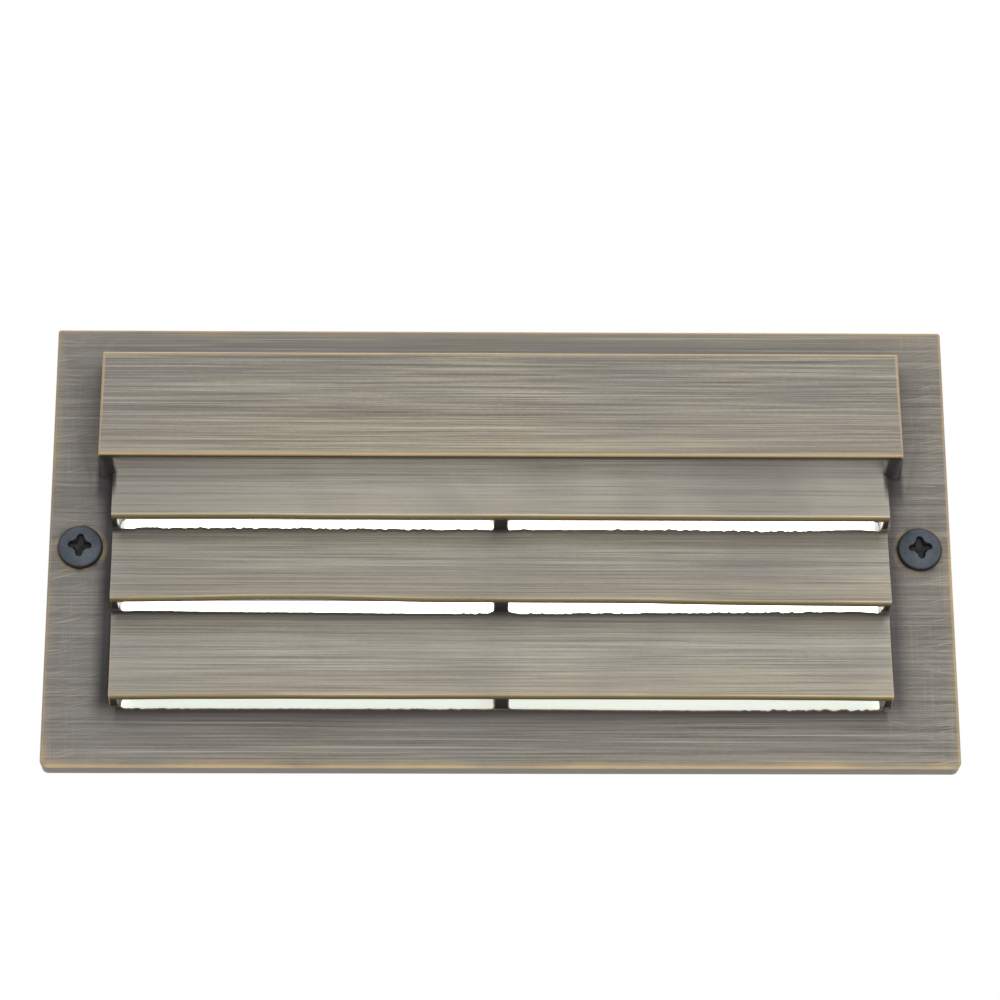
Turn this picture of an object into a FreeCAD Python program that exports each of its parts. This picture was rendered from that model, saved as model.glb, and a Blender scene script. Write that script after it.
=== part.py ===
import FreeCAD, Part
import math
import os

import Sketcher

# Recessed step light with a cast, louvred faceplate.
#
# +X is to the right of someone facing the light, +Y points into the wall and +Z is up. The origin is
# the middle of the faceplate's back, the plane that lies on the wall. "reach" is a distance out of the
# wall, measured from the faceplate's flat front. "depth" is a distance into the wall from the origin.

SIZES = [
    # faceplate
    ("plate_width", 235.0, "faceplate, overall width"),
    ("plate_height", 121.0, "faceplate, overall height"),
    ("plate_thick", 5.5, "faceplate, thickness of the flat part"),
    ("corner_low", 1.9, "faceplate, radius of the two lower corners"),
    ("corner_top", 0.8, "faceplate, radius of the two upper corners"),
    ("edge_wear", 0.5, "faceplate, bevel round its front and rounding of the hood's and lips' edges"),
    # louvres
    ("louver_reach", 8.5, "how far each lip stands out"),
    ("louver_wall", 3.4, "depth of a lip and of the blade above it"),
    ("louver_hollow", 0.6, "how much a blade's face is dished"),
    ("louver_side_top", 15.9, "plate left at each side of the louvre block, at its top"),
    ("louver_side_low", 17.4, "plate left at each side of the louvre block, at its foot"),
    ("louver_draft", 2.0, "casting draft of the louvre block's ends, degrees"),
    ("upper_blade", 22.4, "height of the first blade, from its lip to where it leaves the plate"),
    ("upper_drop", 14.0, "how far the first lip lies under the hood's lip"),
    ("lower_pitch", 26.2, "pitch of the second and third lips"),
    ("foot_margin", 16.3, "height of the third lip over the plate's bottom edge"),
    # slots behind the lips
    ("sill_drop", 0.6, "how far a slot's sill lies under its lip"),
    ("slot_height", 4.6, "height of a light slot"),
    ("slot_corner", 2.0, "radius of a slot's corners"),
    ("slot_side", 17.9, "plate left at each end of the first row of slots"),
    ("slot_step", 0.9, "how much shorter each next row is at each end"),
    ("mullion_width", 3.8, "middle bar between the left and right slots"),
    # hood
    ("hood_side", 12.3, "plate left at each side of the hood"),
    ("hood_draft", 4.2, "casting draft of the hood's ends, degrees"),
    ("hood_margin", 10.2, "plate left over the hood"),
    ("hood_fall", 0.8, "fall of the hood's top towards its front"),
    ("hood_height", 31.7, "height of the hood, from its top to its lip"),
    ("hood_top_reach", 11.0, "how far the hood's top edge stands out"),
    ("hood_reach", 16.5, "how far the hood's lip stands out"),
    ("hood_hollow", 0.5, "how much the hood's face is dished"),
    ("hood_wall", 3.4, "front and top wall of the hood"),
    ("hood_end_wall", 4.5, "end walls of the hood"),
    # face screws
    ("screw_inset", 8.25, "face screws, from the plate's ends"),
    ("screw_height", -1.4, "height of the face screws"),
    ("face_screw_length", 22.0, "face screw, length under the head"),
    ("face_shank", 5.8, "face screw, shank"),
    ("face_head", 11.6, "face screw, head"),
    ("face_head_side", 1.5, "face screw, straight side of the head"),
    ("face_head_height", 3.3, "face screw, total height of the head"),
    ("face_crown", 0.5, "face screw, crown of its domed top"),
    ("face_recess", 6.4, "face screw, width of the cross recess"),
    ("face_recess_arm", 1.9, "face screw, width of a recess arm"),
    ("face_recess_depth", 2.2, "face screw, depth of the recess"),
    ("screw_hole", 6.6, "hole for a face screw in the faceplate"),
    # housing
    ("flange_depth", 2.0, "depth of the flange's front"),
    ("flange_thick", 3.0, "flange, thickness"),
    ("rim_width", 3.0, "how far the plate covers the wall at each side of the flange"),
    ("rim_height", 3.5, "how far the plate covers the wall over and under the flange"),
    ("flange_corner", 5.0, "flange, corner radius"),
    ("flange_side", 13.1, "flange, from its ends to the pan's mouth"),
    ("flange_band", 7.4, "flange, from its top and bottom to the pan's mouth"),
    ("pan_corner", 5.0, "pan, inner corner radius"),
    ("pan_wall", 2.5, "pan, side wall"),
    ("seat_depth", 7.6, "depth of the ledge that the lens sits on"),
    ("seat_width", 4.0, "width of that ledge"),
    ("floor_depth", 21.0, "depth of the pan's floor"),
    ("floor_thick", 3.0, "pan, floor thickness"),
    ("box_inset", 29.4, "wiring box, how far its inner ends lie inside the pan's mouth"),
    ("box_low", -30.0, "wiring box, inner bottom"),
    ("box_high", 38.0, "wiring box, inner top"),
    ("box_depth", 59.0, "depth of the wiring box's inner back"),
    ("box_wall", 3.0, "wiring box, wall"),
    ("box_corner", 5.0, "wiring box, outer corner radius"),
    ("wall_screw_inset", 5.2, "wall screw holes, from the flange's ends"),
    ("wall_screw_spacing_z", 64.0, "wall screw holes, spacing up"),
    ("wall_screw_hole", 4.5, "wall screw holes, diameter"),
    ("ear_boss_diameter", 10.4, "boss behind each face screw"),
    ("ear_boss_depth", 20.0, "depth of the end of that boss"),
    ("ear_rib", 4.0, "thickness of the rib that ties that boss to the pan"),
    ("blind_web", 0.8, "metal left under a blind hole"),
    ("insert_diameter", 8.0, "threaded insert, outside"),
    ("insert_length", 12.0, "threaded insert, length"),
    ("insert_bore", 6.0, "threaded insert, bore"),
    # supply entries
    ("entry_height", 4.0, "height of the supply entries"),
    ("entry_depth", 42.0, "depth of the supply entries"),
    ("entry_bore", 20.8, "supply entry, bore"),
    ("hub_diameter", 29.0, "supply entry, outside of its hub"),
    ("hub_length", 10.0, "supply entry, how far the hub stands out"),
    ("plug_flange", 26.0, "closing plug, flange"),
    ("plug_flange_thick", 3.0, "closing plug, flange thickness"),
    ("plug_depth", 11.0, "closing plug, threaded part"),
    ("plug_slot_length", 16.0, "closing plug, length of its slot"),
    ("plug_slot_width", 2.4, "closing plug, width of its slot"),
    # lens and seals
    ("lens_thick", 4.0, "lens, thickness"),
    ("lens_corner", 4.0, "lens, corner radius"),
    ("seal_wall", 1.2, "lens seal, around the edge of the glass"),
    ("seal_fit", 0.3, "gap round the lens seal in the pan's mouth"),
    ("seal_back", 1.0, "lens seal, behind the glass"),
    ("seal_lip", 1.4, "lens seal, how far its lips lie over the glass"),
    ("gasket_inset", 0.5, "face gasket, how far it stays inside the flange and clear of the mouth"),
    ("seat_fit", 0.1, "gap round pieces that lie in a recess"),
    ("round_fit", 0.15, "gap between round pieces and their holes"),
    # light engine
    ("spreader_thick", 3.0, "heat spreader plate, thickness"),
    ("spreader_side", 11.4, "heat spreader plate, gap to the pan's walls at its ends"),
    ("spreader_band", 3.6, "heat spreader plate, gap to the pan's walls over and under it"),
    ("pad_thick", 0.5, "thermal pad, thickness"),
    ("pad_inset", 4.0, "thermal pad, how far it stays inside the board screws"),
    ("board_thick", 1.6, "lamp board, thickness"),
    ("board_inset", 6.0, "lamp board, how far it stays inside the spreader's ends"),
    ("board_half_height", 11.0, "lamp board, half height"),
    ("lamp_count", 10, "lamps in a row"),
    ("lamp_rows", 2, "rows of lamps"),
    ("lamp_size", 3.0, "lamp package, side"),
    ("lamp_height", 0.8, "lamp package, height"),
    ("lamp_pitch", 14.4, "lamps, spacing along a row"),
    ("lamp_row_pitch", 11.0, "lamps, spacing between the rows"),
    ("reflector_thick", 0.8, "reflector, sheet"),
    ("reflector_side", 4.0, "reflector, room round the ends of the board"),
    ("reflector_band", 3.0, "reflector, room over and under the board"),
    ("reflector_gap", 0.4, "reflector, how far its rim lies behind the lens's ledge"),
    ("board_screw_inset", 6.0, "board screws, from the board's ends"),
    ("board_screw_length", 4.6, "board screws, length under the head"),
    ("spreader_screw_length", 4.8, "spreader screws, length under the head"),
    ("driver_screw_length", 7.0, "driver screws, length under the head"),
    ("ground_screw_length", 4.5, "ground screw, length under the head"),
    ("small_shank", 3.0, "small screws, shank"),
    ("small_head", 5.5, "small screws, hexagon head across its flats"),
    ("small_head_height", 1.8, "small screws, head height"),
    ("spreader_screw_side", 6.0, "spreader screws, from the spreader's ends"),
    ("spreader_screw_band", 5.0, "spreader screws, from the spreader's top and bottom"),
    # driver and wiring
    ("driver_half_length", 38.0, "driver, half length"),
    ("driver_height", 30.0, "driver, height"),
    ("driver_depth", 21.0, "driver, front to back"),
    ("driver_x", -14.0, "driver, place across"),
    ("driver_z", 18.0, "driver, middle height"),
    ("driver_ear", 8.0, "driver, length of each fixing ear"),
    ("driver_ear_height", 9.0, "driver, height of its ears"),
    ("driver_ear_thick", 2.5, "driver, thickness of its ears"),
    ("driver_corner", 3.0, "driver, corner radius"),
    ("post_height", 3.0, "posts on the wiring box's back"),
    ("post_width", 7.0, "posts, side of their square"),
    ("block_length", 30.0, "terminal block, length"),
    ("block_height", 18.0, "terminal block, height"),
    ("block_depth", 15.0, "terminal block, front to back"),
    ("block_x", 30.0, "terminal block, middle across"),
    ("block_z", -16.0, "terminal block, middle height"),
    ("block_poles", 3, "terminal block, poles"),
    ("terminal_diameter", 5.0, "terminal screws, head"),
    ("terminal_head", 2.0, "terminal screws, thickness"),
    ("terminal_slot", 0.9, "terminal screws, slot"),
    ("terminal_well", 5.0, "terminal block, depth of a screw well"),
    ("terminal_wire", 4.0, "terminal block, side of a wire entry"),
    ("terminal_wire_in", 6.0, "terminal block, depth of a wire entry"),
    ("terminal_wire_back", 5.0, "terminal block, wire entries, from its back"),
    ("grommet_width", 12.0, "window in the spreader for the lamp leads, width"),
    ("grommet_height", 7.0, "window in the spreader for the lamp leads, height"),
    ("grommet_rim", 2.0, "lead grommet, how far its flanges reach past the window"),
    ("grommet_lip", 1.2, "lead grommet, flange thickness"),
    ("grommet_wall", 1.5, "lead grommet, wall round the leads"),
    ("grommet_x", 52.0, "lead grommet, place across"),
    ("grommet_z", 27.0, "lead grommet, height"),
    ("ground_x", -46.0, "ground screw, place across"),
    ("ground_z", -18.0, "ground screw, height"),
]

# lengths and heights that follow from the sizes above
DERIVED = {
    "hood_half": "plate_width / 2 - hood_side",
    "hood_top": "plate_height / 2 - hood_margin",
    "hood_lip": "hood_top - hood_height",
    "louver_half_top": "plate_width / 2 - louver_side_top",
    "louver_half_low": "plate_width / 2 - louver_side_low",
    "slot_half": "plate_width / 2 - slot_side",
    "upper_lip": "hood_lip - upper_drop",
    "upper_root": "upper_lip + upper_blade",
    "lower_lip": "foot_margin - plate_height / 2",
    "middle_lip": "lower_lip + lower_pitch",
    "screw_x": "plate_width / 2 - screw_inset",
    "flange_half_width": "plate_width / 2 - rim_width",
    "flange_half_height": "plate_height / 2 - rim_height",
    "pan_half_width": "flange_half_width - flange_side",
    "pan_half_height": "flange_half_height - flange_band",
    "hollow_half_width": "pan_half_width - seat_width",
    "hollow_half_height": "pan_half_height - seat_width",
    "box_half_width": "pan_half_width - box_inset",
    "hub_end": "box_half_width + box_wall + hub_length",
    "wall_screw_x": "flange_half_width - wall_screw_inset",
    "seal_half_width": "pan_half_width - seal_fit",
    "seal_half_height": "pan_half_height - seal_fit",
    "lens_half_width": "seal_half_width - seal_wall",
    "lens_half_height": "seal_half_height - seal_wall",
    "lens_front": "seat_depth - seal_back - lens_thick",
    "spreader_half_width": "hollow_half_width - spreader_side",
    "spreader_half_height": "hollow_half_height - spreader_band",
    "spreader_screw_x": "spreader_half_width - spreader_screw_side",
    "spreader_screw_z": "spreader_half_height - spreader_screw_band",
    "spreader_front": "floor_depth - spreader_thick",
    "board_half_width": "spreader_half_width - board_inset",
    "board_screw_x": "board_half_width - board_screw_inset",
    "board_front": "spreader_front - pad_thick - board_thick",
    "reflector_foot_width": "board_half_width + reflector_side",
    "reflector_foot_height": "board_half_height + reflector_band",
    "post_top": "box_depth - post_height",
    "small_hole": "small_shank + 2 * round_fit",
}

PAST = "4"  # mm, how far the outline of a cut reaches past the metal
ROOT = "1"  # mm, how deep a rib's outline runs into the wall that it grows from

os.makedirs("parts", exist_ok=True)
doc = FreeCAD.newDocument("StepLight")
sheet = doc.addObject("Spreadsheet::Sheet", "Sizes")
for row, (alias, number, meaning) in enumerate(SIZES, start=1):
    sheet.set(f"A{row}", meaning)
    sheet.set(f"B{row}", str(number))
    sheet.setAlias(f"B{row}", alias)
doc.recompute()

NODES = []


# ---------------------------------------------------------------- small helpers

def value(expression):
    """A number worked out from the sheet, such as value('plate_width / 2')."""
    return float(sheet.evalExpression(with_sheet(expression)))


def with_sheet(expression):
    """Write an expression out: derived words by what they stand for, and aliases with the sheet's
    name before them, as an expression outside the sheet needs."""
    text = ""
    word = ""
    for letter in str(expression) + " ":
        if letter.isalnum() or letter == "_":
            word += letter
            continue
        if word in DERIVED:
            text += f"({with_sheet(DERIVED[word])})"
        else:
            text += f"Sizes.{word}" if word in ALIASES else word
        text += letter
        word = ""
    return text.strip()


ALIASES = {alias for alias, number, meaning in SIZES}


def bind(feature, prop, expression):
    """Tie a feature's property to the sheet."""
    feature.setExpression(prop, with_sheet(expression))


def new_body(name, several=False):
    """A body whose label is the name of its node. Like pieces may share one, as several solids."""
    body = doc.addObject("PartDesign::Body", name)
    body.Label = name
    body.AllowCompound = several
    NODES.append(body)
    return body


def new_sketch(body, name, role, offset="0"):
    """A sketch on one of the body's own origin planes, moved along the plane's normal."""
    sketch = body.newObject("Sketcher::SketchObject", name)
    plane = [item for item in body.Origin.OriginFeatures if item.Role == role][0]
    sketch.AttachmentSupport = [(plane, "")]
    sketch.MapMode = "FlatFace"
    bind(sketch, "AttachmentOffset.Base.z", offset)
    return sketch


def place(sketch, geometry, vertex, across, up):
    """Hold one vertex of a sketch at the place that two expressions give."""
    for kind, expression in (("DistanceX", across), ("DistanceY", up)):
        index = sketch.addConstraint(Sketcher.Constraint(kind, -1, 1, geometry, vertex, value(expression)))
        bind(sketch, f"Constraints[{index}]", expression)


def outline(sketch, corners, dished=None):
    """A closed outline. corners holds (across, up) expressions. dished maps a side's number to the
    expression of its sagitta: that side is an arc which sags to the left of its direction."""
    dished = dished or {}
    spots = [FreeCAD.Vector(value(across), value(up), 0) for across, up in corners]
    first = sketch.GeometryCount
    count = len(spots)
    ends = []
    for side in range(count):
        start, end = spots[side], spots[(side + 1) % count]
        if side not in dished:
            sketch.addGeometry(Part.LineSegment(start, end))
            ends.append((1, 2))
            continue
        # an arc is drawn anticlockwise, so this one runs from the side's end back to its start
        sagitta = value(dished[side])
        left = FreeCAD.Vector(start.y - end.y, end.x - start.x, 0).normalize()
        radius = ((end - start).Length ** 2 / 4 + sagitta ** 2) / (2 * sagitta)
        centre = (start + end) / 2 - left * (radius - sagitta)
        whole = Part.Circle(centre, FreeCAD.Vector(0, 0, 1), radius)
        sketch.addGeometry(Part.ArcOfCircle(whole, whole.parameter(end), whole.parameter(start)))
        ends.append((2, 1))
    for side in range(count):
        after = (side + 1) % count
        sketch.addConstraint(Sketcher.Constraint(
            "Coincident", first + side, ends[side][1], first + after, ends[after][0]))
    for side, (across, up) in enumerate(corners):
        place(sketch, first + side, ends[side][0], across, up)
    for side, sagitta in dished.items():
        (ax, ay), (bx, by) = corners[side], corners[(side + 1) % count]
        half = f"((({bx}) - ({ax}))^2 + (({by}) - ({ay}))^2) / 4"
        radius = f"({half} + ({sagitta})^2) / (2 * ({sagitta}))"
        index = sketch.addConstraint(Sketcher.Constraint("Radius", first + side, value(radius)))
        bind(sketch, f"Constraints[{index}]", radius)


def circle(sketch, across, up, diameter):
    """A circle whose centre and diameter follow the sheet."""
    centre = FreeCAD.Vector(value(across), value(up), 0)
    index = sketch.addGeometry(Part.Circle(centre, FreeCAD.Vector(0, 0, 1), value(diameter) / 2))
    place(sketch, index, 3, across, up)
    size = sketch.addConstraint(Sketcher.Constraint("Diameter", index, value(diameter)))
    bind(sketch, f"Constraints[{size}]", diameter)


def rounded_box(sketch, left, right, low, high, radius_low, radius_high=None):
    """A rectangle with tangent corner arcs; the lower and upper corners may differ."""
    radius_high = radius_high or radius_low
    corners = [(right, low, -1, 1, radius_low, 270), (right, high, -1, -1, radius_high, 0),
               (left, high, 1, -1, radius_high, 90), (left, low, 1, 1, radius_low, 180)]
    arcs = []
    for across, up, sx, sy, radius, angle in corners:
        centre = FreeCAD.Vector(value(across) + sx * value(radius), value(up) + sy * value(radius), 0)
        round_edge = Part.Circle(centre, FreeCAD.Vector(0, 0, 1), value(radius))
        begin, finish = math.radians(angle), math.radians(angle + 90)
        arcs.append(sketch.addGeometry(Part.ArcOfCircle(round_edge, begin, finish)))
    for number, arc in enumerate(arcs):
        after = arcs[(number + 1) % 4]
        start = sketch.Geometry[arc].EndPoint
        finish = sketch.Geometry[after].StartPoint
        line = sketch.addGeometry(Part.LineSegment(start, finish))
        sketch.addConstraint(Sketcher.Constraint("Tangent", arc, 2, line, 1))
        sketch.addConstraint(Sketcher.Constraint("Tangent", line, 2, after, 1))
    for arc, (across, up, sx, sy, radius, angle) in zip(arcs, corners):
        place(sketch, arc, 3, f"({across}) + {sx} * ({radius})", f"({up}) + {sy} * ({radius})")
        index = sketch.addConstraint(Sketcher.Constraint("Radius", arc, value(radius)))
        bind(sketch, f"Constraints[{index}]", radius)


def plain_box(sketch, left, right, low, high):
    """A rectangle with square corners."""
    outline(sketch, [(left, low), (right, low), (right, high), (left, high)])


def pad(body, name, sketch, length, both=False, inward=False, taper=None):
    """A pad to both sides of its sketch, against the sketch's normal (inward), or along it."""
    feature = body.newObject("PartDesign::Pad", name)
    feature.Profile = sketch
    bind(feature, "Length", length)
    feature.Midplane = both
    feature.Reversed = inward
    if taper:
        bind(feature, "TaperAngle", taper)
    doc.recompute()
    return feature


def cut(body, name, sketch, length, both=False, outward=False):
    """A pocket that has to take something away, or the build stops."""
    before = body.Shape.Volume
    feature = body.newObject("PartDesign::Pocket", name)
    feature.Profile = sketch
    bind(feature, "Length", length)
    feature.Midplane = both
    feature.Reversed = outward
    doc.recompute()
    if not feature.isValid():
        raise RuntimeError(f"{body.Label}: {name} fails: {feature.getStatusString()}")
    if not feature.Shape.Volume < before - 0.01:
        raise RuntimeError(f"{body.Label}: {name} cuts nothing")
    return feature


def wear_edges(body, name, chosen, size, bevel=False):
    """Round, or else bevel, the edges of the body's last shape for which chosen(edge) is true."""
    base = body.Tip
    edges = [f"Edge{number}" for number, edge in enumerate(base.Shape.Edges, start=1) if chosen(edge)]
    if not edges:
        raise RuntimeError(f"{body.Label}: {name} finds no edge")
    feature = body.newObject("PartDesign::Chamfer" if bevel else "PartDesign::Fillet", name)
    feature.Base = (base, edges)
    bind(feature, "Size" if bevel else "Radius", size)
    doc.recompute()
    return feature


def turned(body, name, corners, centre, offset="0", role="YZ_Plane", dished=None):
    """A turned piece. corners holds (along, radius) expressions of its half section, from end to end.
    Its axis lies in the plane called role, at the height centre and at the given offset."""
    sketch = new_sketch(body, f"{name}_section", role, offset)
    outline(sketch, [(along, f"({centre}) + ({radius})") for along, radius in corners], dished)
    ends = [FreeCAD.Vector(value(corners[index][0]), value(centre), 0) for index in (0, -1)]
    axis = sketch.addGeometry(Part.LineSegment(*ends), True)
    place(sketch, axis, 1, corners[0][0], centre)
    place(sketch, axis, 2, corners[-1][0], centre)
    feature = body.newObject("PartDesign::Revolution", name)
    feature.Profile = sketch
    feature.ReferenceAxis = (sketch, ["Axis0"])
    feature.Angle = 360
    doc.recompute()
    return feature


def mirrored(body, name, originals, role):
    """Repeat features on the other side of one of the body's origin planes."""
    feature = body.newObject("PartDesign::Mirrored", name)
    feature.Originals = originals
    plane = [item for item in body.Origin.OriginFeatures if item.Role == role][0]
    feature.MirrorPlane = (plane, [""])
    body.Tip = feature
    doc.recompute()
    return feature


def repeated(body, name, originals, role, length, count):
    """Repeat features along one of the body's origin axes, evenly over a length."""
    feature = body.newObject("PartDesign::LinearPattern", name)
    feature.Originals = originals
    axis = [item for item in body.Origin.OriginFeatures if item.Role == role][0]
    feature.Direction = (axis, [""])
    bind(feature, "Length", length)
    bind(feature, "Occurrences", count)
    body.Tip = feature
    doc.recompute()
    return feature


def out(reach):
    """The Y place of something that stands out of the faceplate's flat front."""
    return f"-plate_thick - ({reach})"


# ---------------------------------------------------------------- faceplate

FRONT = "-plate_thick"
FAR = out(f"hood_reach + {PAST}")
# each row: name, height where the blade leaves the plate, height of its lip, shortening of its slots
LOUVERS = [
    ("upper", "upper_root", "upper_lip", "slot_half"),
    ("middle", "upper_lip - sill_drop", "middle_lip", "slot_half - slot_step"),
    ("lower", "middle_lip - sill_drop", "lower_lip", "slot_half - 2 * slot_step"),
]


def flat(edge, axis, at):
    """Whether an edge lies wholly in the plane axis = at ('X', 'Y' or 'Z')."""
    box = edge.BoundBox
    low, high = getattr(box, f"{axis}Min"), getattr(box, f"{axis}Max")
    return abs(low - value(at)) < 0.01 and abs(high - value(at)) < 0.01


def round_faceplate(body):
    """The worn edges: the plate's front outline, the hood's face and the three lips."""
    half_width, half_height = value("plate_width / 2"), value("plate_height / 2")
    corner = value("corner_low")

    def on_rim(edge):
        middle = edge.BoundBox.Center
        outer = abs(middle.x) > half_width - corner or abs(middle.z) > half_height - corner
        return flat(edge, "Y", FRONT) and outer

    def on_hood(edge):
        long = edge.Length > value("2 * hood_end_wall")
        inside = flat(edge, "Y", out("hood_reach - hood_wall"))
        at_end = max(edge.BoundBox.XMax, -edge.BoundBox.XMin) > value("hood_half - hood_end_wall / 2")
        proud = edge.BoundBox.YMax < value(out("hood_top_reach")) + 0.01
        return long and proud and not inside and at_end

    def on_lip(edge):
        return flat(edge, "Y", out("louver_reach")) and edge.Length > value("louver_half_low")

    wear_edges(body, "rim_wear", on_rim, "edge_wear", bevel=True)
    wear_edges(body, "hood_wear", on_hood, "edge_wear")
    wear_edges(body, "lip_wear", on_lip, "edge_wear")


def build_faceplate():
    """One casting: flat plate, three louvre blades, a hood over them and slots through the web."""
    body = new_body("faceplate")
    sketch = new_sketch(body, "plate_outline", "XZ_Plane")
    rounded_box(sketch, "-plate_width / 2", "plate_width / 2", "-plate_height / 2", "plate_height / 2",
                "corner_low", "corner_top")
    pad(body, "plate", sketch, "plate_thick")

    # the louvre block narrows towards its foot and towards its front
    sketch = new_sketch(body, "louver_block_outline", "XZ_Plane", "plate_thick")
    foot = f"lower_lip - {PAST}"
    outline(sketch, [("-louver_half_low", foot), ("louver_half_low", foot),
                     ("louver_half_top", "upper_root"), ("-louver_half_top", "upper_root")])
    pad(body, "louver_block", sketch, f"louver_reach + {PAST}", taper="-louver_draft")

    # the stepped front: dished blade faces with flat lips under them
    corners = []
    dished = {}
    for name, root, lip, half in LOUVERS:
        dished[len(corners)] = "louver_hollow"
        corners += [(FRONT, root), (out("louver_reach"), lip), (FRONT, lip)]
    corners += [(FRONT, f"{foot} - {PAST}"), (FAR, f"{foot} - {PAST}"), (FAR, "upper_root")]
    sketch = new_sketch(body, "louver_profile", "YZ_Plane")
    outline(sketch, corners, dished)
    cut(body, "louver_faces", sketch, "plate_width", both=True)

    # behind each lip the blade is hollow, down to the slots in the web
    back = "(louver_reach - louver_wall)"
    for name, root, lip, half in LOUVERS:
        apex = f"{lip} + {back} * (({root}) - {lip}) / louver_reach"
        sketch = new_sketch(body, f"{name}_hollow_profile", "YZ_Plane")
        outline(sketch, [(FRONT, lip), (out(back), lip), (FRONT, apex)])
        cut(body, f"{name}_hollow", sketch, f"2 * ({half})", both=True)
        sketch = new_sketch(body, f"{name}_rib_profile", "YZ_Plane")
        outline(sketch, [(f"{FRONT} + {ROOT}", f"{lip} - sill_drop"), (FRONT, f"{lip} - sill_drop"),
                         (out(back), lip), (FRONT, apex), (f"{FRONT} + {ROOT}", apex)])
        pad(body, f"{name}_rib", sketch, "mullion_width", both=True)

    # the hood, drafted at its ends and open underneath
    sketch = new_sketch(body, "hood_profile", "YZ_Plane")
    outline(sketch, [(FRONT, "hood_top"), (out("hood_top_reach"), "hood_top - hood_fall"),
                     (out("hood_reach"), "hood_lip"), (FRONT, "hood_lip")], {1: "hood_hollow"})
    pad(body, "hood", sketch, "2 * hood_half", both=True)
    sketch = new_sketch(body, "hood_draft_outline", "XY_Plane")
    narrow = f"(hood_half - (hood_reach + {PAST}) * tan(hood_draft))"
    wide = f"(hood_half + {PAST})"
    for side in (-1, 1):
        outline(sketch, [(f"{side} * hood_half", FRONT), (f"{side} * {wide}", FRONT),
                         (f"{side} * {wide}", FAR), (f"{side} * {narrow}", FAR)])
    cut(body, "hood_ends", sketch, "plate_height", both=True)
    sketch = new_sketch(body, "hood_hollow_profile", "YZ_Plane")
    outline(sketch, [(FRONT, "upper_root"), (out("louver_reach"), "upper_lip"),
                     (out("hood_reach - hood_wall"), "upper_lip"),
                     (out("hood_reach - hood_wall"), "hood_lip"),
                     (out("hood_top_reach - hood_wall"), "hood_top - hood_fall - hood_wall"),
                     (FRONT, "hood_top - hood_wall")], {0: "louver_hollow"})
    cut(body, "hood_hollow", sketch, "2 * (hood_half - hood_end_wall)", both=True)

    # the light slots, two to a row, with the mullion left between them
    for name, root, lip, half in LOUVERS:
        sketch = new_sketch(body, f"{name}_slots_outline", "XZ_Plane")
        sill = f"{lip} - sill_drop"
        head = f"{lip} - sill_drop + slot_height"
        rounded_box(sketch, f"-({half})", "-mullion_width / 2", sill, head, "slot_corner")
        rounded_box(sketch, "mullion_width / 2", half, sill, head, "slot_corner")
        cut(body, f"{name}_slots", sketch, "plate_thick", outward=True)

    sketch = new_sketch(body, "screw_holes_outline", "XZ_Plane")
    for side in (-1, 1):
        circle(sketch, f"{side} * screw_x", "screw_height", "screw_hole")
    cut(body, "screw_holes", sketch, "plate_thick", outward=True)
    round_faceplate(body)


# ---------------------------------------------------------------- screws and other fasteners

def cross_recess(body, name, across, up, top):
    """A cross recess in a face screw's domed head; top is the Y place of the dome's middle."""
    sketch = new_sketch(body, f"{name}_outline", "XZ_Plane", f"-({top} - face_crown)")
    long, short = "face_recess / 2", "face_recess_arm / 2"
    corners = []
    for sx, sz in ((1, 1), (-1, 1), (-1, -1), (1, -1)):
        turn = [(long, short), (short, short), (short, long)]
        if sx != sz:
            turn.reverse()
        corners += [(f"({across}) + {sx} * {x}", f"({up}) + {sz} * {z}") for x, z in turn]
    outline(sketch, corners)
    cut(body, name, sketch, "face_recess_depth + face_crown")


def build_face_screws():
    """The two screws that hold the faceplate: domed heads with a cross recess."""
    body = new_body("face_screws", several=True)
    head, shank = "face_head / 2", "face_shank / 2"
    top, end = f"{FRONT} - face_head_height", f"{FRONT} + face_screw_length"
    section = [(top, "0"), (f"{FRONT} - face_head_side", head), (FRONT, head), (FRONT, shank), (end, shank),
               (end, "0")]
    for name, side in (("left", -1), ("right", 1)):
        across = f"{side} * screw_x"
        turned(body, f"{name}_screw", section, "screw_height", across, dished={0: "face_crown"})
        cross_recess(body, f"{name}_recess", across, "screw_height", top)


def build_small_screws(name, seat, length, places):
    """Like hexagon head screws at (across, up) places. Their heads bear on the plane Y = seat."""
    body = new_body(name, several=True)
    heads = new_sketch(body, "heads_outline", "XZ_Plane", f"-({seat})")
    shanks = new_sketch(body, "shanks_outline", "XZ_Plane", f"-({seat})")
    radius = "small_head / 2 / cos(30)"
    for across, up in places:
        outline(heads, [(f"{across} + {radius} * cos({angle})", f"{up} + {radius} * sin({angle})")
                        for angle in range(0, 360, 60)])
        circle(shanks, across, up, "small_shank")
    pad(body, "heads", heads, "small_head_height")
    pad(body, "shanks", shanks, length, inward=True)


def four(across, up):
    """The four (across, up) places of a rectangle centred on the origin."""
    return [(f"{sx} * {across}", f"{sz} * {up}") for sx in (-1, 1) for sz in (-1, 1)]


def build_inserts():
    """The brass inserts that the face screws turn into."""
    body = new_body("screw_inserts", several=True)
    sketch = new_sketch(body, "tubes_outline", "XZ_Plane", "-flange_depth")
    for side in (-1, 1):
        circle(sketch, f"{side} * screw_x", "screw_height", "insert_diameter")
        circle(sketch, f"{side} * screw_x", "screw_height", "insert_bore")
    pad(body, "tubes", sketch, "insert_length", inward=True)


# ---------------------------------------------------------------- housing

BOX_BACK = "box_depth + box_wall"
DRIVER_POSTS = [("driver_x - driver_half_length - driver_ear / 2", "driver_z"),
                ("driver_x + driver_half_length + driver_ear / 2", "driver_z")]
BLOCK_POSTS = [("block_x - block_length / 4", "block_z"), ("block_x + block_length / 4", "block_z")]
GROUND_POST = [("ground_x", "ground_z")]


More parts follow.
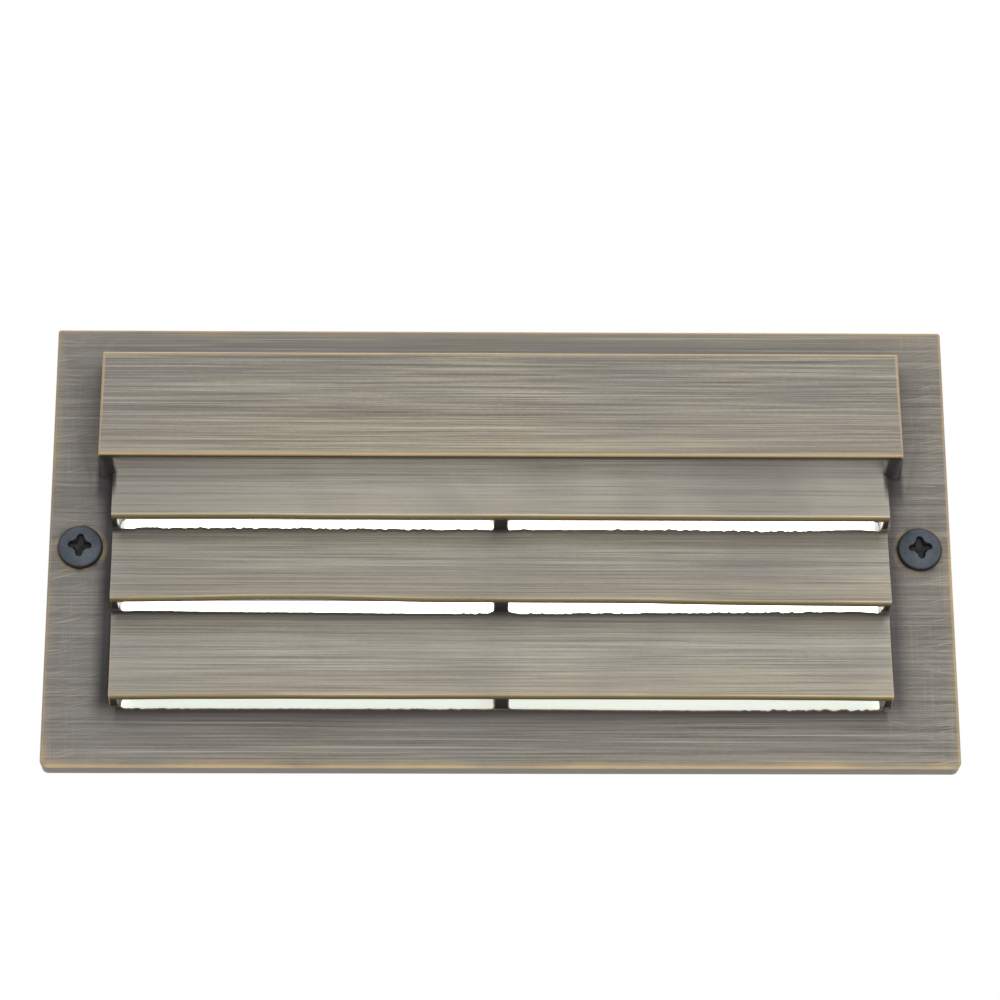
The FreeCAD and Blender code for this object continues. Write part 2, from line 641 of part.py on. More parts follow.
def build_housing():
    """The cast housing: flange, pan for the lens and the lamps, wiring box with two supply hubs."""
    body = new_body("housing")
    sketch = new_sketch(body, "flange_outline", "XZ_Plane", "-flange_depth")
    rounded_box(sketch, "-flange_half_width", "flange_half_width", "-flange_half_height",
                "flange_half_height", "flange_corner")
    pad(body, "flange", sketch, "flange_thick", inward=True)

    sketch = new_sketch(body, "pan_outline", "XZ_Plane", "-flange_depth")
    wide, high = "(pan_half_width + pan_wall)", "(pan_half_height + pan_wall)"
    rounded_box(sketch, f"-{wide}", wide, f"-{high}", high, "pan_corner + pan_wall")
    pad(body, "pan", sketch, "floor_depth + floor_thick - flange_depth", inward=True)

    sketch = new_sketch(body, "wiring_box_outline", "XZ_Plane", "-floor_depth")
    wide = "(box_half_width + box_wall)"
    rounded_box(sketch, f"-{wide}", wide, "box_low - box_wall", "box_high + box_wall", "box_corner")
    pad(body, "wiring_box", sketch, f"{BOX_BACK} - floor_depth", inward=True)

    sketch = new_sketch(body, "ear_bosses_outline", "XZ_Plane", "-flange_depth")
    for side in (-1, 1):
        circle(sketch, f"{side} * screw_x", "screw_height", "ear_boss_diameter")
    pad(body, "ear_bosses", sketch, "ear_boss_depth - flange_depth", inward=True)
    sketch = new_sketch(body, "ear_ribs_outline", "XZ_Plane", "-flange_depth")
    low, high = "screw_height - ear_rib / 2", "screw_height + ear_rib / 2"
    near = "(pan_half_width + pan_wall - " + ROOT + ")"
    plain_box(sketch, "-screw_x", f"-{near}", low, high)
    plain_box(sketch, near, "screw_x", low, high)
    pad(body, "ear_ribs", sketch, "ear_boss_depth - flange_depth", inward=True)

    sketch = new_sketch(body, "right_hub_outline", "YZ_Plane", "box_half_width")
    circle(sketch, "entry_depth", "entry_height", "hub_diameter")
    hub = pad(body, "right_hub", sketch, "box_wall + hub_length")
    mirrored(body, "left_hub", [hub], "YZ_Plane")

    # hollows, from the mouth inwards
    sketch = new_sketch(body, "mouth_outline", "XZ_Plane", "-flange_depth")
    rounded_box(sketch, "-pan_half_width", "pan_half_width", "-pan_half_height", "pan_half_height",
                "pan_corner")
    cut(body, "mouth", sketch, "seat_depth - flange_depth")
    sketch = new_sketch(body, "pan_hollow_outline", "XZ_Plane", "-seat_depth")
    plain_box(sketch, "-hollow_half_width", "hollow_half_width", "-hollow_half_height",
              "hollow_half_height")
    cut(body, "pan_hollow", sketch, "floor_depth - seat_depth")
    sketch = new_sketch(body, "box_hollow_outline", "XZ_Plane", "-floor_depth")
    plain_box(sketch, "-box_half_width", "box_half_width", "box_low", "box_high")
    cut(body, "box_hollow", sketch, "box_depth - floor_depth")

    sketch = new_sketch(body, "posts_outline", "XZ_Plane", "-box_depth")
    half = "post_width / 2"
    for across, up in DRIVER_POSTS + BLOCK_POSTS + GROUND_POST:
        plain_box(sketch, f"{across} - {half}", f"{across} + {half}", f"{up} - {half}", f"{up} + {half}")
    pad(body, "posts", sketch, "post_height")

    # holes
    sketch = new_sketch(body, "entry_outline", "YZ_Plane")
    circle(sketch, "entry_depth", "entry_height", "entry_bore")
    cut(body, "supply_entries", sketch, "2 * hub_end", both=True)
    sketch = new_sketch(body, "insert_holes_outline", "XZ_Plane", "-flange_depth")
    for side in (-1, 1):
        circle(sketch, f"{side} * screw_x", "screw_height", "insert_diameter + 2 * round_fit")
    cut(body, "insert_holes", sketch, "ear_boss_depth - flange_depth - blind_web")
    sketch = new_sketch(body, "wall_holes_outline", "XZ_Plane", "-flange_depth")
    for across, up in four("wall_screw_x", "wall_screw_spacing_z / 2"):
        circle(sketch, across, up, "wall_screw_hole")
    cut(body, "wall_holes", sketch, "flange_thick")
    sketch = new_sketch(body, "floor_holes_outline", "XZ_Plane", "-floor_depth")
    for across, up in four("spreader_screw_x", "spreader_screw_z"):
        circle(sketch, across, up, "small_hole")
    cut(body, "floor_holes", sketch, "floor_thick - blind_web")
    sketch = new_sketch(body, "post_holes_outline", "XZ_Plane", "-post_top")
    for across, up in DRIVER_POSTS + GROUND_POST:
        circle(sketch, across, up, "small_hole")
    cut(body, "post_holes", sketch, "post_height + box_wall - blind_web")


def build_entry_plug():
    """The plug that closes the supply entry on the left."""
    body = new_body("entry_plug")
    face = "-hub_end"
    rim, stem = "plug_flange / 2", "entry_bore / 2 - round_fit"
    section = [(f"{face} - plug_flange_thick", "0"), (f"{face} - plug_flange_thick", rim), (face, rim),
               (face, stem), (f"{face} + plug_depth", stem), (f"{face} + plug_depth", "0")]
    turned(body, "plug", section, "entry_depth", "entry_height", "XY_Plane")
    sketch = new_sketch(body, "slot_outline", "YZ_Plane", f"{face} - plug_flange_thick")
    half, width = "plug_slot_length / 2", "plug_slot_width / 2"
    plain_box(sketch, f"entry_depth - {half}", f"entry_depth + {half}", f"entry_height - {width}",
              f"entry_height + {width}")
    cut(body, "driver_slot", sketch, "plug_flange_thick / 2", outward=True)


# ---------------------------------------------------------------- seals and lens

def build_face_gasket():
    """The flat gasket between the faceplate and the flange. It lies over the sunk wall screws."""
    body = new_body("face_gasket")
    sketch = new_sketch(body, "band_outline", "XZ_Plane")
    wide, high = "(flange_half_width - gasket_inset)", "(flange_half_height - gasket_inset)"
    rounded_box(sketch, f"-{wide}", wide, f"-{high}", high, "flange_corner")
    pad(body, "band", sketch, "flange_depth", inward=True)
    sketch = new_sketch(body, "opening_outline", "XZ_Plane")
    wide, high = "(pan_half_width + gasket_inset)", "(pan_half_height + gasket_inset)"
    plain_box(sketch, f"-{wide}", wide, f"-{high}", high)
    cut(body, "opening", sketch, "flange_depth")
    sketch = new_sketch(body, "screw_holes_outline", "XZ_Plane")
    for side in (-1, 1):
        circle(sketch, f"{side} * screw_x", "screw_height", "screw_hole")
    cut(body, "screw_holes", sketch, "flange_depth")


def build_lens():
    """The frosted glass behind the slots."""
    body = new_body("lens")
    sketch = new_sketch(body, "glass_outline", "XZ_Plane", "-lens_front")
    rounded_box(sketch, "-lens_half_width", "lens_half_width", "-lens_half_height", "lens_half_height",
                "lens_corner")
    pad(body, "glass", sketch, "lens_thick", inward=True)


def build_lens_seal():
    """The rubber channel round the edge of the glass, squeezed between faceplate and housing."""
    body = new_body("lens_seal")
    layers = [("front_lip", "0", "lens_front"), ("channel", "lens_front", "lens_thick"),
              ("back_lip", "lens_front + lens_thick", "seal_back")]
    for name, start, thickness in layers:
        sketch = new_sketch(body, f"{name}_outline", "XZ_Plane", f"-({start})")
        rounded_box(sketch, "-seal_half_width", "seal_half_width", "-seal_half_height",
                    "seal_half_height", "lens_corner + seal_wall")
        if name == "channel":
            wide, high = "(lens_half_width + seat_fit)", "(lens_half_height + seat_fit)"
            rounded_box(sketch, f"-{wide}", wide, f"-{high}", high, "lens_corner")
        else:
            wide, high = "(lens_half_width - seal_lip)", "(lens_half_height - seal_lip)"
            plain_box(sketch, f"-{wide}", wide, f"-{high}", high)
        pad(body, name, sketch, thickness, inward=True)


# ---------------------------------------------------------------- light engine

def build_heat_spreader():
    """The plate that carries the lamp board and closes the wiring box."""
    body = new_body("heat_spreader")
    sketch = new_sketch(body, "plate_outline", "XZ_Plane", "-spreader_front")
    plain_box(sketch, "-spreader_half_width", "spreader_half_width", "-spreader_half_height",
              "spreader_half_height")
    for across, up in four("spreader_screw_x", "spreader_screw_z"):
        circle(sketch, across, up, "small_hole")
    for side in (-1, 1):
        circle(sketch, f"{side} * board_screw_x", "0", "small_hole")
    window(sketch, "0")
    pad(body, "plate", sketch, "spreader_thick", inward=True)


def build_thermal_pad():
    """The soft pad between lamp board and heat spreader. It ends short of the board screws."""
    body = new_body("thermal_pad")
    sketch = new_sketch(body, "pad_outline", "XZ_Plane", "-(spreader_front - pad_thick)")
    wide = "(board_screw_x - pad_inset)"
    plain_box(sketch, f"-{wide}", wide, "-board_half_height", "board_half_height")
    pad(body, "pad", sketch, "pad_thick", inward=True)


def build_lamp_board():
    """The board that carries the lamps."""
    body = new_body("lamp_board")
    sketch = new_sketch(body, "board_outline", "XZ_Plane", "-board_front")
    plain_box(sketch, "-board_half_width", "board_half_width", "-board_half_height",
              "board_half_height")
    for side in (-1, 1):
        circle(sketch, f"{side} * board_screw_x", "0", "small_hole")
    pad(body, "board", sketch, "board_thick", inward=True)


def build_lamps():
    """The lamp packages on the board, in even rows."""
    body = new_body("lamps", several=True)
    sketch = new_sketch(body, "package_outline", "XZ_Plane", "-board_front")
    left = "(-(lamp_count - 1) * lamp_pitch / 2)"
    for number in range(int(value("lamp_rows"))):
        middle = f"(({number} - (lamp_rows - 1) / 2) * lamp_row_pitch)"
        plain_box(sketch, f"{left} - lamp_size / 2", f"{left} + lamp_size / 2",
                  f"{middle} - lamp_size / 2", f"{middle} + lamp_size / 2")
    package = pad(body, "package", sketch, "lamp_height")
    repeated(body, "row", [package], "X_Axis", "(lamp_count - 1) * lamp_pitch", "lamp_count")


def build_reflector():
    """The white funnel from the lamp board out to the lens, folded from sheet."""
    body = new_body("reflector")
    for name, kind, inset in (("outside", "PartDesign::AdditiveWedge", "0"),
                              ("inside", "PartDesign::SubtractiveWedge", "reflector_thick")):
        funnel = body.newObject(kind, name)
        rim_wide = f"(hollow_half_width - seat_fit - {inset})"
        rim_high = f"(hollow_half_height - seat_fit - {inset})"
        foot_wide, foot_high = f"(reflector_foot_width - {inset})", f"(reflector_foot_height - {inset})"
        bind(funnel, "Ymin", "seat_depth + reflector_gap")
        bind(funnel, "Ymax", "spreader_front")
        for low, high, half in (("Xmin", "Xmax", rim_wide), ("Zmin", "Zmax", rim_high),
                                ("X2min", "X2max", foot_wide), ("Z2min", "Z2max", foot_high)):
            bind(funnel, low, f"-{half}")
            bind(funnel, high, half)
        doc.recompute()


# ---------------------------------------------------------------- driver and wiring

def build_driver():
    """The potted driver, with an ear at each end."""
    body = new_body("driver")
    low, high = "driver_z - driver_height / 2", "driver_z + driver_height / 2"
    sketch = new_sketch(body, "case_outline", "XZ_Plane", "-post_top")
    rounded_box(sketch, "driver_x - driver_half_length", "driver_x + driver_half_length", low, high,
                "driver_corner")
    pad(body, "case", sketch, "driver_depth")
    sketch = new_sketch(body, "ears_outline", "XZ_Plane", "-post_top")
    reach = "(driver_half_length + driver_ear)"
    plain_box(sketch, f"driver_x - {reach}", f"driver_x + {reach}", "driver_z - driver_ear_height / 2",
              "driver_z + driver_ear_height / 2")
    pad(body, "ears", sketch, "driver_ear_thick")
    sketch = new_sketch(body, "ear_holes_outline", "XZ_Plane", "-post_top")
    for across, up in DRIVER_POSTS:
        circle(sketch, across, up, "small_hole")
    cut(body, "ear_holes", sketch, "driver_ear_thick", outward=True)


def build_terminal_block():
    """The supply terminals: one square entry for the wire and one screw well to each pole."""
    body = new_body("terminal_block")
    left, right = "block_x - block_length / 2", "block_x + block_length / 2"
    low, high = "block_z - block_height / 2", "block_z + block_height / 2"
    sketch = new_sketch(body, "case_outline", "XZ_Plane", "-post_top")
    plain_box(sketch, left, right, low, high)
    pad(body, "case", sketch, "block_depth")
    wells = new_sketch(body, "wells_outline", "XZ_Plane", "-(post_top - block_depth)")
    entries = new_sketch(body, "entries_outline", "XY_Plane", low)
    for pole in range(int(value("block_poles"))):
        across = f"(block_x + ({pole} - (block_poles - 1) / 2) * block_length / block_poles)"
        circle(wells, across, "block_z", "terminal_diameter + 2 * round_fit")
        middle = "post_top - terminal_wire_back"
        plain_box(entries, f"{across} - terminal_wire / 2", f"{across} + terminal_wire / 2",
                  f"{middle} - terminal_wire / 2", f"{middle} + terminal_wire / 2")
    cut(body, "wells", wells, "terminal_well")
    cut(body, "entries", entries, "terminal_wire_in", outward=True)


def build_terminal_screws():
    """The slotted screws at the bottom of the terminal block's wells."""
    body = new_body("terminal_screws", several=True)
    bottom = "(post_top - block_depth + terminal_well)"
    sketch = new_sketch(body, "discs_outline", "XZ_Plane", f"-{bottom}")
    slots = new_sketch(body, "slots_outline", "XZ_Plane", f"-({bottom} - terminal_head)")
    for pole in range(int(value("block_poles"))):
        across = f"(block_x + ({pole} - (block_poles - 1) / 2) * block_length / block_poles)"
        circle(sketch, across, "block_z", "terminal_diameter")
        plain_box(slots, f"{across} - terminal_slot / 2", f"{across} + terminal_slot / 2",
                  "block_z - terminal_diameter", "block_z + terminal_diameter")
    pad(body, "discs", sketch, "terminal_head")
    cut(body, "slots", slots, "terminal_head / 2")


def window(sketch, grown):
    """The lead window's outline, grown by an expression on every side."""
    wide, high = f"(grommet_width / 2 + {grown})", f"(grommet_height / 2 + {grown})"
    plain_box(sketch, f"grommet_x - {wide}", f"grommet_x + {wide}", f"grommet_z - {high}",
              f"grommet_z + {high}")


def build_grommet():
    """The rubber grommet where the lamp leads pass the heat spreader's window."""
    body = new_body("lead_grommet")
    layers = [("front_flange", "spreader_front - grommet_lip", "grommet_lip", "grommet_rim"),
              ("neck", "spreader_front", "spreader_thick", "(-seat_fit)"),
              ("back_flange", "floor_depth", "grommet_lip", "grommet_rim")]
    for name, start, thickness, grown in layers:
        sketch = new_sketch(body, f"{name}_outline", "XZ_Plane", f"-({start})")
        window(sketch, grown)
        window(sketch, "(-grommet_wall)")
        pad(body, name, sketch, thickness, inward=True)


def check_document():
    """Stop the build on a failed feature or a bad solid."""
    doc.recompute()
    for item in doc.Objects:
        if "Invalid" in item.State or "Error" in item.State:
            raise RuntimeError(f"{item.Label} did not build: {item.State}")
    for node in NODES:
        if node.Shape.isNull() or not node.Shape.isValid():
            raise RuntimeError(f"{node.Label} has no sound shape")


def main():
    build_faceplate()
    build_face_screws()
    build_face_gasket()
    build_lens()
    build_lens_seal()
    build_housing()
    build_inserts()
    build_entry_plug()
    build_reflector()
    build_heat_spreader()
    build_thermal_pad()
    build_lamp_board()
    build_lamps()
    build_small_screws("board_screws", "board_front", "board_screw_length",
                       [("-board_screw_x", "0"), ("board_screw_x", "0")])
    build_small_screws("spreader_screws", "spreader_front", "spreader_screw_length",
                       four("spreader_screw_x", "spreader_screw_z"))
    build_grommet()
    build_driver()
    build_small_screws("driver_screws", "post_top - driver_ear_thick", "driver_screw_length", DRIVER_POSTS)
    build_terminal_block()
    build_terminal_screws()
    build_small_screws("ground_screw", "post_top", "ground_screw_length", GROUND_POST)
    check_document()
    for node in NODES:
        node.Shape.exportStep(f"parts/{node.Label}.step")
        print(f"{node.Label}: {len(node.Shape.Solids)} solid(s), {node.Shape.Volume / 1000:.2f} cm3")


main()
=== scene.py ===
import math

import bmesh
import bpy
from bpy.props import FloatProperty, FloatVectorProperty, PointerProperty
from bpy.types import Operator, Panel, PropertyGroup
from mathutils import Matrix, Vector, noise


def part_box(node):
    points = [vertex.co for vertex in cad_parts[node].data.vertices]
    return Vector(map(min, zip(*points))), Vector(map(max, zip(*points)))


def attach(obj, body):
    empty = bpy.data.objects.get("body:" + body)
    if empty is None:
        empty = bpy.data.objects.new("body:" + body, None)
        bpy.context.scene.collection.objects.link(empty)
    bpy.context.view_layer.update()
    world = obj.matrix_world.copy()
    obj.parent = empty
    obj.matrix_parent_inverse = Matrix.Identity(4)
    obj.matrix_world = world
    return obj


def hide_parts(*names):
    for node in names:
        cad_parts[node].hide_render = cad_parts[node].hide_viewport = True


bl_info = {
    "name": "Recessed louvred step light",
    "version": (1, 0, 0),
    "blender": (4, 5, 0),
    "location": "View3D > Sidebar > Step light",
    "description": "Finishes and fine detail of a louvred step light, laid over its packed frame",
    "category": "Object",
}

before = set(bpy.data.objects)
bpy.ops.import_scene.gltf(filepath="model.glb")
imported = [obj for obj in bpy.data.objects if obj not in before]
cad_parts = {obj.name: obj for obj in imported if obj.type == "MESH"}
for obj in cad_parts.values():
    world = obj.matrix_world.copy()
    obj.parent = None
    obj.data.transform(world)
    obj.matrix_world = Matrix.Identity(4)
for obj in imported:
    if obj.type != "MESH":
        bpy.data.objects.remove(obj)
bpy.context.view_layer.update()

# +X is to the right of someone facing the light, +Y points into the wall, +Z is up. The origin is the
# middle of the faceplate's back. Lengths are in metres.

MM = 0.001
FRONT = -5.5 * MM            # the faceplate's flat front
LIPS = (4.6 * MM, -18.0 * MM, -44.2 * MM)   # heights of the three louvre lips
SILL_DROP = 0.6 * MM         # a slot's sill lies this far under its lip
SLOT_HALF = (99.6 * MM, 98.7 * MM, 97.8 * MM)
SLOT_HEIGHT = 4.6 * MM
SLOT_CORNER = 2.0 * MM
MULLION_HALF = 1.9 * MM
LIP_REACH = -14.0 * MM       # front of the louvre lips
HOOD_REACH = -22.0 * MM      # front of the hood's lip
HOOD_LIP = 18.6 * MM         # height of the hood's lip
HOOD_TOP = 49.5 * MM         # top edge of the hood's front
HOOD_SIDE = 104.2 * MM       # side edges of the hood's front
BLOCK_SIDE = 101.6 * MM      # side edges of the louvre block at its top
MARGIN = (96.0 * MM, 108.0 * MM)   # the brushed field ends and the scratched side margins begin here
HALF_WIDTH = 117.5 * MM
HALF_HEIGHT = 60.5 * MM
SCREW_X = 109.25 * MM
SCREW_Z = -1.4 * MM

# Heights over a lip at which the casting is cut, so that only the bands near the slots are uneven.
BURR_BAND = tuple(rise * MM for rise in (-2.4, -1.3, 2.5, 6.0, 10.0))

# How far each lip and each sill strays from straight: places along it and its rise there, in mm.
LIP_BOWS = (((-100, 0.2), (-65, 0.35), (0, 0.3), (60, 0.3), (100, 0.0)),
            ((-100, 0.2), (-58, 0.8), (-18, 0.15), (20, 0.0), (100, -0.75)),
            ((-100, 0.15), (-30, 0.35), (50, 0.4), (100, 0.1)))
SILL_BOWS = (((-100, 0.5), (-60, 0.5), (-20, 0.25), (40, 0.3), (75, 0.0), (97, 0.5)),
             ((-100, 0.25), (-60, -0.1), (-15, -0.4), (15, -0.3), (60, 0.1), (97, 0.45)),
             ((-100, 0.0), (0, 0.0), (50, -0.25), (97, 0.0)))


def srgb(red, green, blue):
    """The linear colour of an 8 bit display colour."""
    def linear(level):
        share = level / 255
        return share / 12.92 if share <= 0.04045 else ((share + 0.055) / 1.055) ** 2.4
    return tuple(linear(level) for level in (red, green, blue))


# ---------------------------------------------------------------- sizes and colours a user may change

def length(name, description, millimetres):
    """A length property, in metres, with its default given in millimetres."""
    return FloatProperty(name=name, description=description, default=millimetres * MM, min=0.0,
                         unit="LENGTH", precision=5)


def colour(name, description, red, green, blue):
    """A colour property with its default given as an 8 bit display colour."""
    return FloatVectorProperty(name=name, description=description, subtype="COLOR", size=3,
                               min=0.0, max=1.0, default=srgb(red, green, blue))


def power(name, description, watts):
    """The power of a lamp, in watts."""
    return FloatProperty(name=name, description=description, default=watts, min=0.0, unit="POWER")


class StepLightCasting(PropertyGroup):
    """How uneven the sand-cast faceplate is."""
    bow: FloatProperty(name="Bow", description="Share of the lips' and sills' bows", default=1.0,
                       min=0.0, max=1.5)
    lip_wave: length("Lip wave", "Small waves of the louvre lips", 0.2)
    sill_burr: length("Sill burr", "Height of the fine teeth along the slots' sills", 0.42)
    burr_pitch: length("Burr pitch", "Spacing of the cuts that carry the burr", 0.5)


class StepLightBrass(PropertyGroup):
    """Colours of the brushed antique finish."""
    body: colour("Body", "Tone between the streaks", 139, 133, 122)
    dark: colour("Dark streak", "Tone of the dark streaks", 108, 102, 93)
    light: colour("Light streak", "Tone of the light streaks", 184, 177, 158)
    # plate: the flat plate's darker tone
    plate: colour("Plate", "Darker patina of the flat plate", 124, 119, 111)
    # painted light that lifts the blade in the hood's shade, and a lighter tone on the lower blades
    painted_blade_light: colour("Painted blade light", "Tone of the blade that the hood shelters", 243, 237, 223)
    # blue: the tone of the thick patina, and also the painted shade over the left end
    blue: colour("Cool patch", "Tone where the patina is thick", 126, 125, 127)
    gold: colour("Worn edge", "Bare metal on edges and round the screws", 204, 177, 130)
    olive: colour("Under the lips", "Unbrushed metal on the lips' undersides", 168, 146, 92)
    warm: colour("Warm band", "Tone of the faces just above each lip", 196, 178, 138)
    # hollow: patina in the inner corners, and the colour of the painted shade in the corners, beside
    # the louvres, under the slots and lips and in the hood's nook
    hollow: colour("In the corners", "Patina left in the inner corners", 54, 50, 52)


class StepLightScrew(PropertyGroup):
    """The two face screws."""
    head_radius: length("Head radius", "Outer radius of the head", 5.8)
    side_height: length("Head side", "Height of the head's side", 1.35)
    head_height: length("Head height", "Height of the dome's middle", 3.2)
    recess_reach: length("Recess reach", "Half width of the cross recess", 3.15)
    recess_depth: length("Recess depth", "Depth of the recess at its middle", 2.5)
    wing_half: length("Wing half width", "Half width of a recess wing", 1.12)
    shank_radius: length("Shank radius", "Crest radius of the thread", 2.9)
    thread_pitch: length("Thread pitch", "Rise of the thread in one turn", 1.0)
    thread_depth: length("Thread depth", "Depth of the thread", 0.45)
    tint: colour("Tint", "Blackened steel of the heads", 82, 90, 99)


class StepLightGlow(PropertyGroup):
    """The lit lens."""
    upper: colour("Upper glow", "Light through the upper slots", 252, 255, 250)
    lower: colour("Lower glow", "Light through the lowest slots", 206, 211, 201)
    strength: FloatProperty(name="Strength", description="Brightness of the lit lens, 1 is white",
                            default=5.0, min=0.1)


class StepLightStage(PropertyGroup):
    """Camera and lamps."""
    yaw: FloatProperty(name="Yaw", description="Turn of the camera to the right", subtype="ANGLE",
                       default=math.radians(1.0))
    pitch: FloatProperty(name="Pitch", description="How far the camera looks up", subtype="ANGLE",
                         default=math.radians(20.68))
    roll: FloatProperty(name="Roll", description="Turn of the camera round its own axis",
                        subtype="ANGLE", default=math.radians(-0.17))
    place: FloatVectorProperty(name="Place", description="Where the camera stands", size=3,
                               subtype="TRANSLATION", default=(-0.0153, -0.8727, -0.3150))
    lens: FloatProperty(name="Lens", description="Focal length in millimetres on a 36 mm sensor",
                        default=127.44, min=1.0)
    key: power("Key lamp", "Power of the lamp in front, in watts", 3.0)
    lower: power("Lower lamp", "Power of the lamp near the floor, in watts", 3.5)
    upper: power("Upper lamp", "Power of the lamp high in front, in watts", 1.4)
    back: power("Back lamps", "Power of each lamp behind, in watts", 5.0)
    ceiling: power("Ceiling lamp", "Power of the lamp overhead, in watts", 17.0)
    ambient: FloatProperty(name="Ambient", description="Light from all round, 1 is white",
                           default=0.34, min=0.0)


# ---------------------------------------------------------------- shader node helpers

def node(tree, kind, inputs=None, **settings):
    """Add a node. inputs maps the name or number of a socket to a value or to another node's output."""
    made = tree.nodes.new(kind)
    for name, setting in settings.items():
        setattr(made, name, setting)
    for name, given in (inputs or {}).items():
        if isinstance(given, bpy.types.NodeSocket):
            tree.links.new(given, made.inputs[name])
        else:
            made.inputs[name].default_value = given
    return made


def calc(tree, operation, *values):
    """A Math node's result."""
    return node(tree, "ShaderNodeMath", dict(enumerate(values)), operation=operation).outputs[0]


def chain(tree, operation, first, *others):
    """Run a two-sided operation through a row of values."""
    for other in others:
        first = calc(tree, operation, first, other)
    return first


def times(tree, *values):
    """The product of the values, so that masks hold only where all of them do."""
    return chain(tree, "MULTIPLY", *values)


def plus(tree, *values):
    """The sum of the values."""
    return chain(tree, "ADD", *values)


def most(tree, *values):
    """The largest of the values, so that a mask holds where any of them does."""
    return chain(tree, "MAXIMUM", *values)


def less(tree, value, taken):
    """One value less another."""
    return calc(tree, "SUBTRACT", value, taken)


def span(tree, value, low, high, start=0.0, end=1.0):
    """Map low..high to start..end, clamped."""
    inputs = {"Value": value, "From Min": low, "From Max": high, "To Min": start, "To Max": end}
    return node(tree, "ShaderNodeMapRange", inputs).outputs[0]


def ramp(tree, value, place, low, high, start=0.0, end=1.0):
    """Map the stretch from low to high, in millimetres from a place, to start..end, clamped."""
    return span(tree, value, place + low * MM, place + high * MM, start, end)


def axes(tree, given):
    """The X, Y and Z of a vector."""
    return node(tree, "ShaderNodeSeparateXYZ", {0: given}).outputs


def vector(tree, x, y, z):
    """A vector of three values."""
    return node(tree, "ShaderNodeCombineXYZ", {0: x, 1: y, 2: z}).outputs[0]


def noise_at(tree, where, scale, detail, **more):
    """Noise between 0 and 1. more gives values to the node's other sockets."""
    inputs = {"Vector": where, "Scale": scale, "Detail": detail, **more}
    return node(tree, "ShaderNodeTexNoise", inputs).outputs[0]


def blend_in(tree, factor, under, over):
    """Lay one colour over another by a factor."""
    inputs = {0: factor}
    for index, given in ((6, under), (7, over)):
        inputs[index] = given if isinstance(given, bpy.types.NodeSocket) else (*given, 1.0)
    return node(tree, "ShaderNodeMix", inputs, data_type="RGBA").outputs[2]


def paint(tree, shade, *layers):
    """Lay colours over a shade in turn. A layer is its mask, its strength and its colour."""
    for mask, strength, over in layers:
        shade = blend_in(tree, times(tree, mask, strength), shade, over)
    return shade


def scaled(shade, share):
    """A colour made darker or lighter, up to white."""
    return tuple(min(1.0, share * level) for level in shade)


def grey(tree, value):
    """A value as a grey colour."""
    return node(tree, "ShaderNodeCombineColor", {0: value, 1: value, 2: value}).outputs[0]


def tones(tree, factor, stops):
    """A colour ramp; stops are (place, colour) in rising order."""
    made = node(tree, "ShaderNodeValToRGB", {"Fac": factor})
    elements = made.color_ramp.elements
    for index, (place, shade) in enumerate(stops):
        element = elements[index] if index < 2 else elements.new(place)
        element.position = place
        element.color = (*shade, 1.0)
    return made.outputs["Color"]


def new_group(name, inputs, *outputs):
    """An empty shader group. It takes a Vector and the named numbers of inputs with their defaults,
    and puts out the named numbers of outputs."""
    group = bpy.data.node_groups.new(name, "ShaderNodeTree")
    group.interface.new_socket("Vector", in_out="INPUT", socket_type="NodeSocketVector")
    for label, default in inputs.items():
        socket = group.interface.new_socket(label, in_out="INPUT", socket_type="NodeSocketFloat")
        socket.default_value = default
    for label in outputs:
        group.interface.new_socket(label, in_out="OUTPUT", socket_type="NodeSocketFloat")
    return group, node(group, "NodeGroupInput").outputs, node(group, "NodeGroupOutput").inputs


def use(tree, group, **inputs):
    """Place a shared group in a material; an underscore in a name stands for a blank."""
    given = {name.replace("_", " "): value for name, value in inputs.items()}
    return node(tree, "ShaderNodeGroup", given, node_tree=group).outputs


def feed(tree, target, **outputs):
    """Link outputs to the sockets of a shader; an underscore in a name stands for a blank."""
    for name, output in outputs.items():
        tree.links.new(output, target.inputs[name.replace("_", " ")])


def shared(name, build):
    """The shared group of that name, built on its first use."""
    return bpy.data.node_groups.get(name) or build(name)


def build_grain(name):
    """Noise drawn out along X, as left by a brush or a rolling mill."""
    inputs = {"Along": 30.0, "Across": 1500.0, "Seed": 0.0, "Low": 0.35, "High": 0.65}
    group, given, result = new_group(name, inputs, "Grain")
    stretch = vector(group, given["Along"], given["Across"], given["Across"])
    drawn = node(group, "ShaderNodeVectorMath", {0: given["Vector"], 1: stretch}, operation="MULTIPLY")
    moved = node(group, "ShaderNodeVectorMath",
                 {0: drawn.outputs[0], 1: vector(group, given["Seed"], given["Seed"], 0.0)},
                 operation="ADD")
    texture = noise_at(group, moved.outputs[0], 1.0, 3.0, Roughness=0.62)
    group.links.new(span(group, texture, given["Low"], given["High"]), result["Grain"])
    return group


def build_blotch(name):
    """Soft, even-sized patches."""
    group, given, result = new_group(name, {"Scale": 30.0, "Low": 0.4, "High": 0.65}, "Patch")
    texture = noise_at(group, given["Vector"], given["Scale"], 4.0, Roughness=0.55, Distortion=0.4)
    group.links.new(span(group, texture, given["Low"], given["High"]), result["Patch"])
    return group


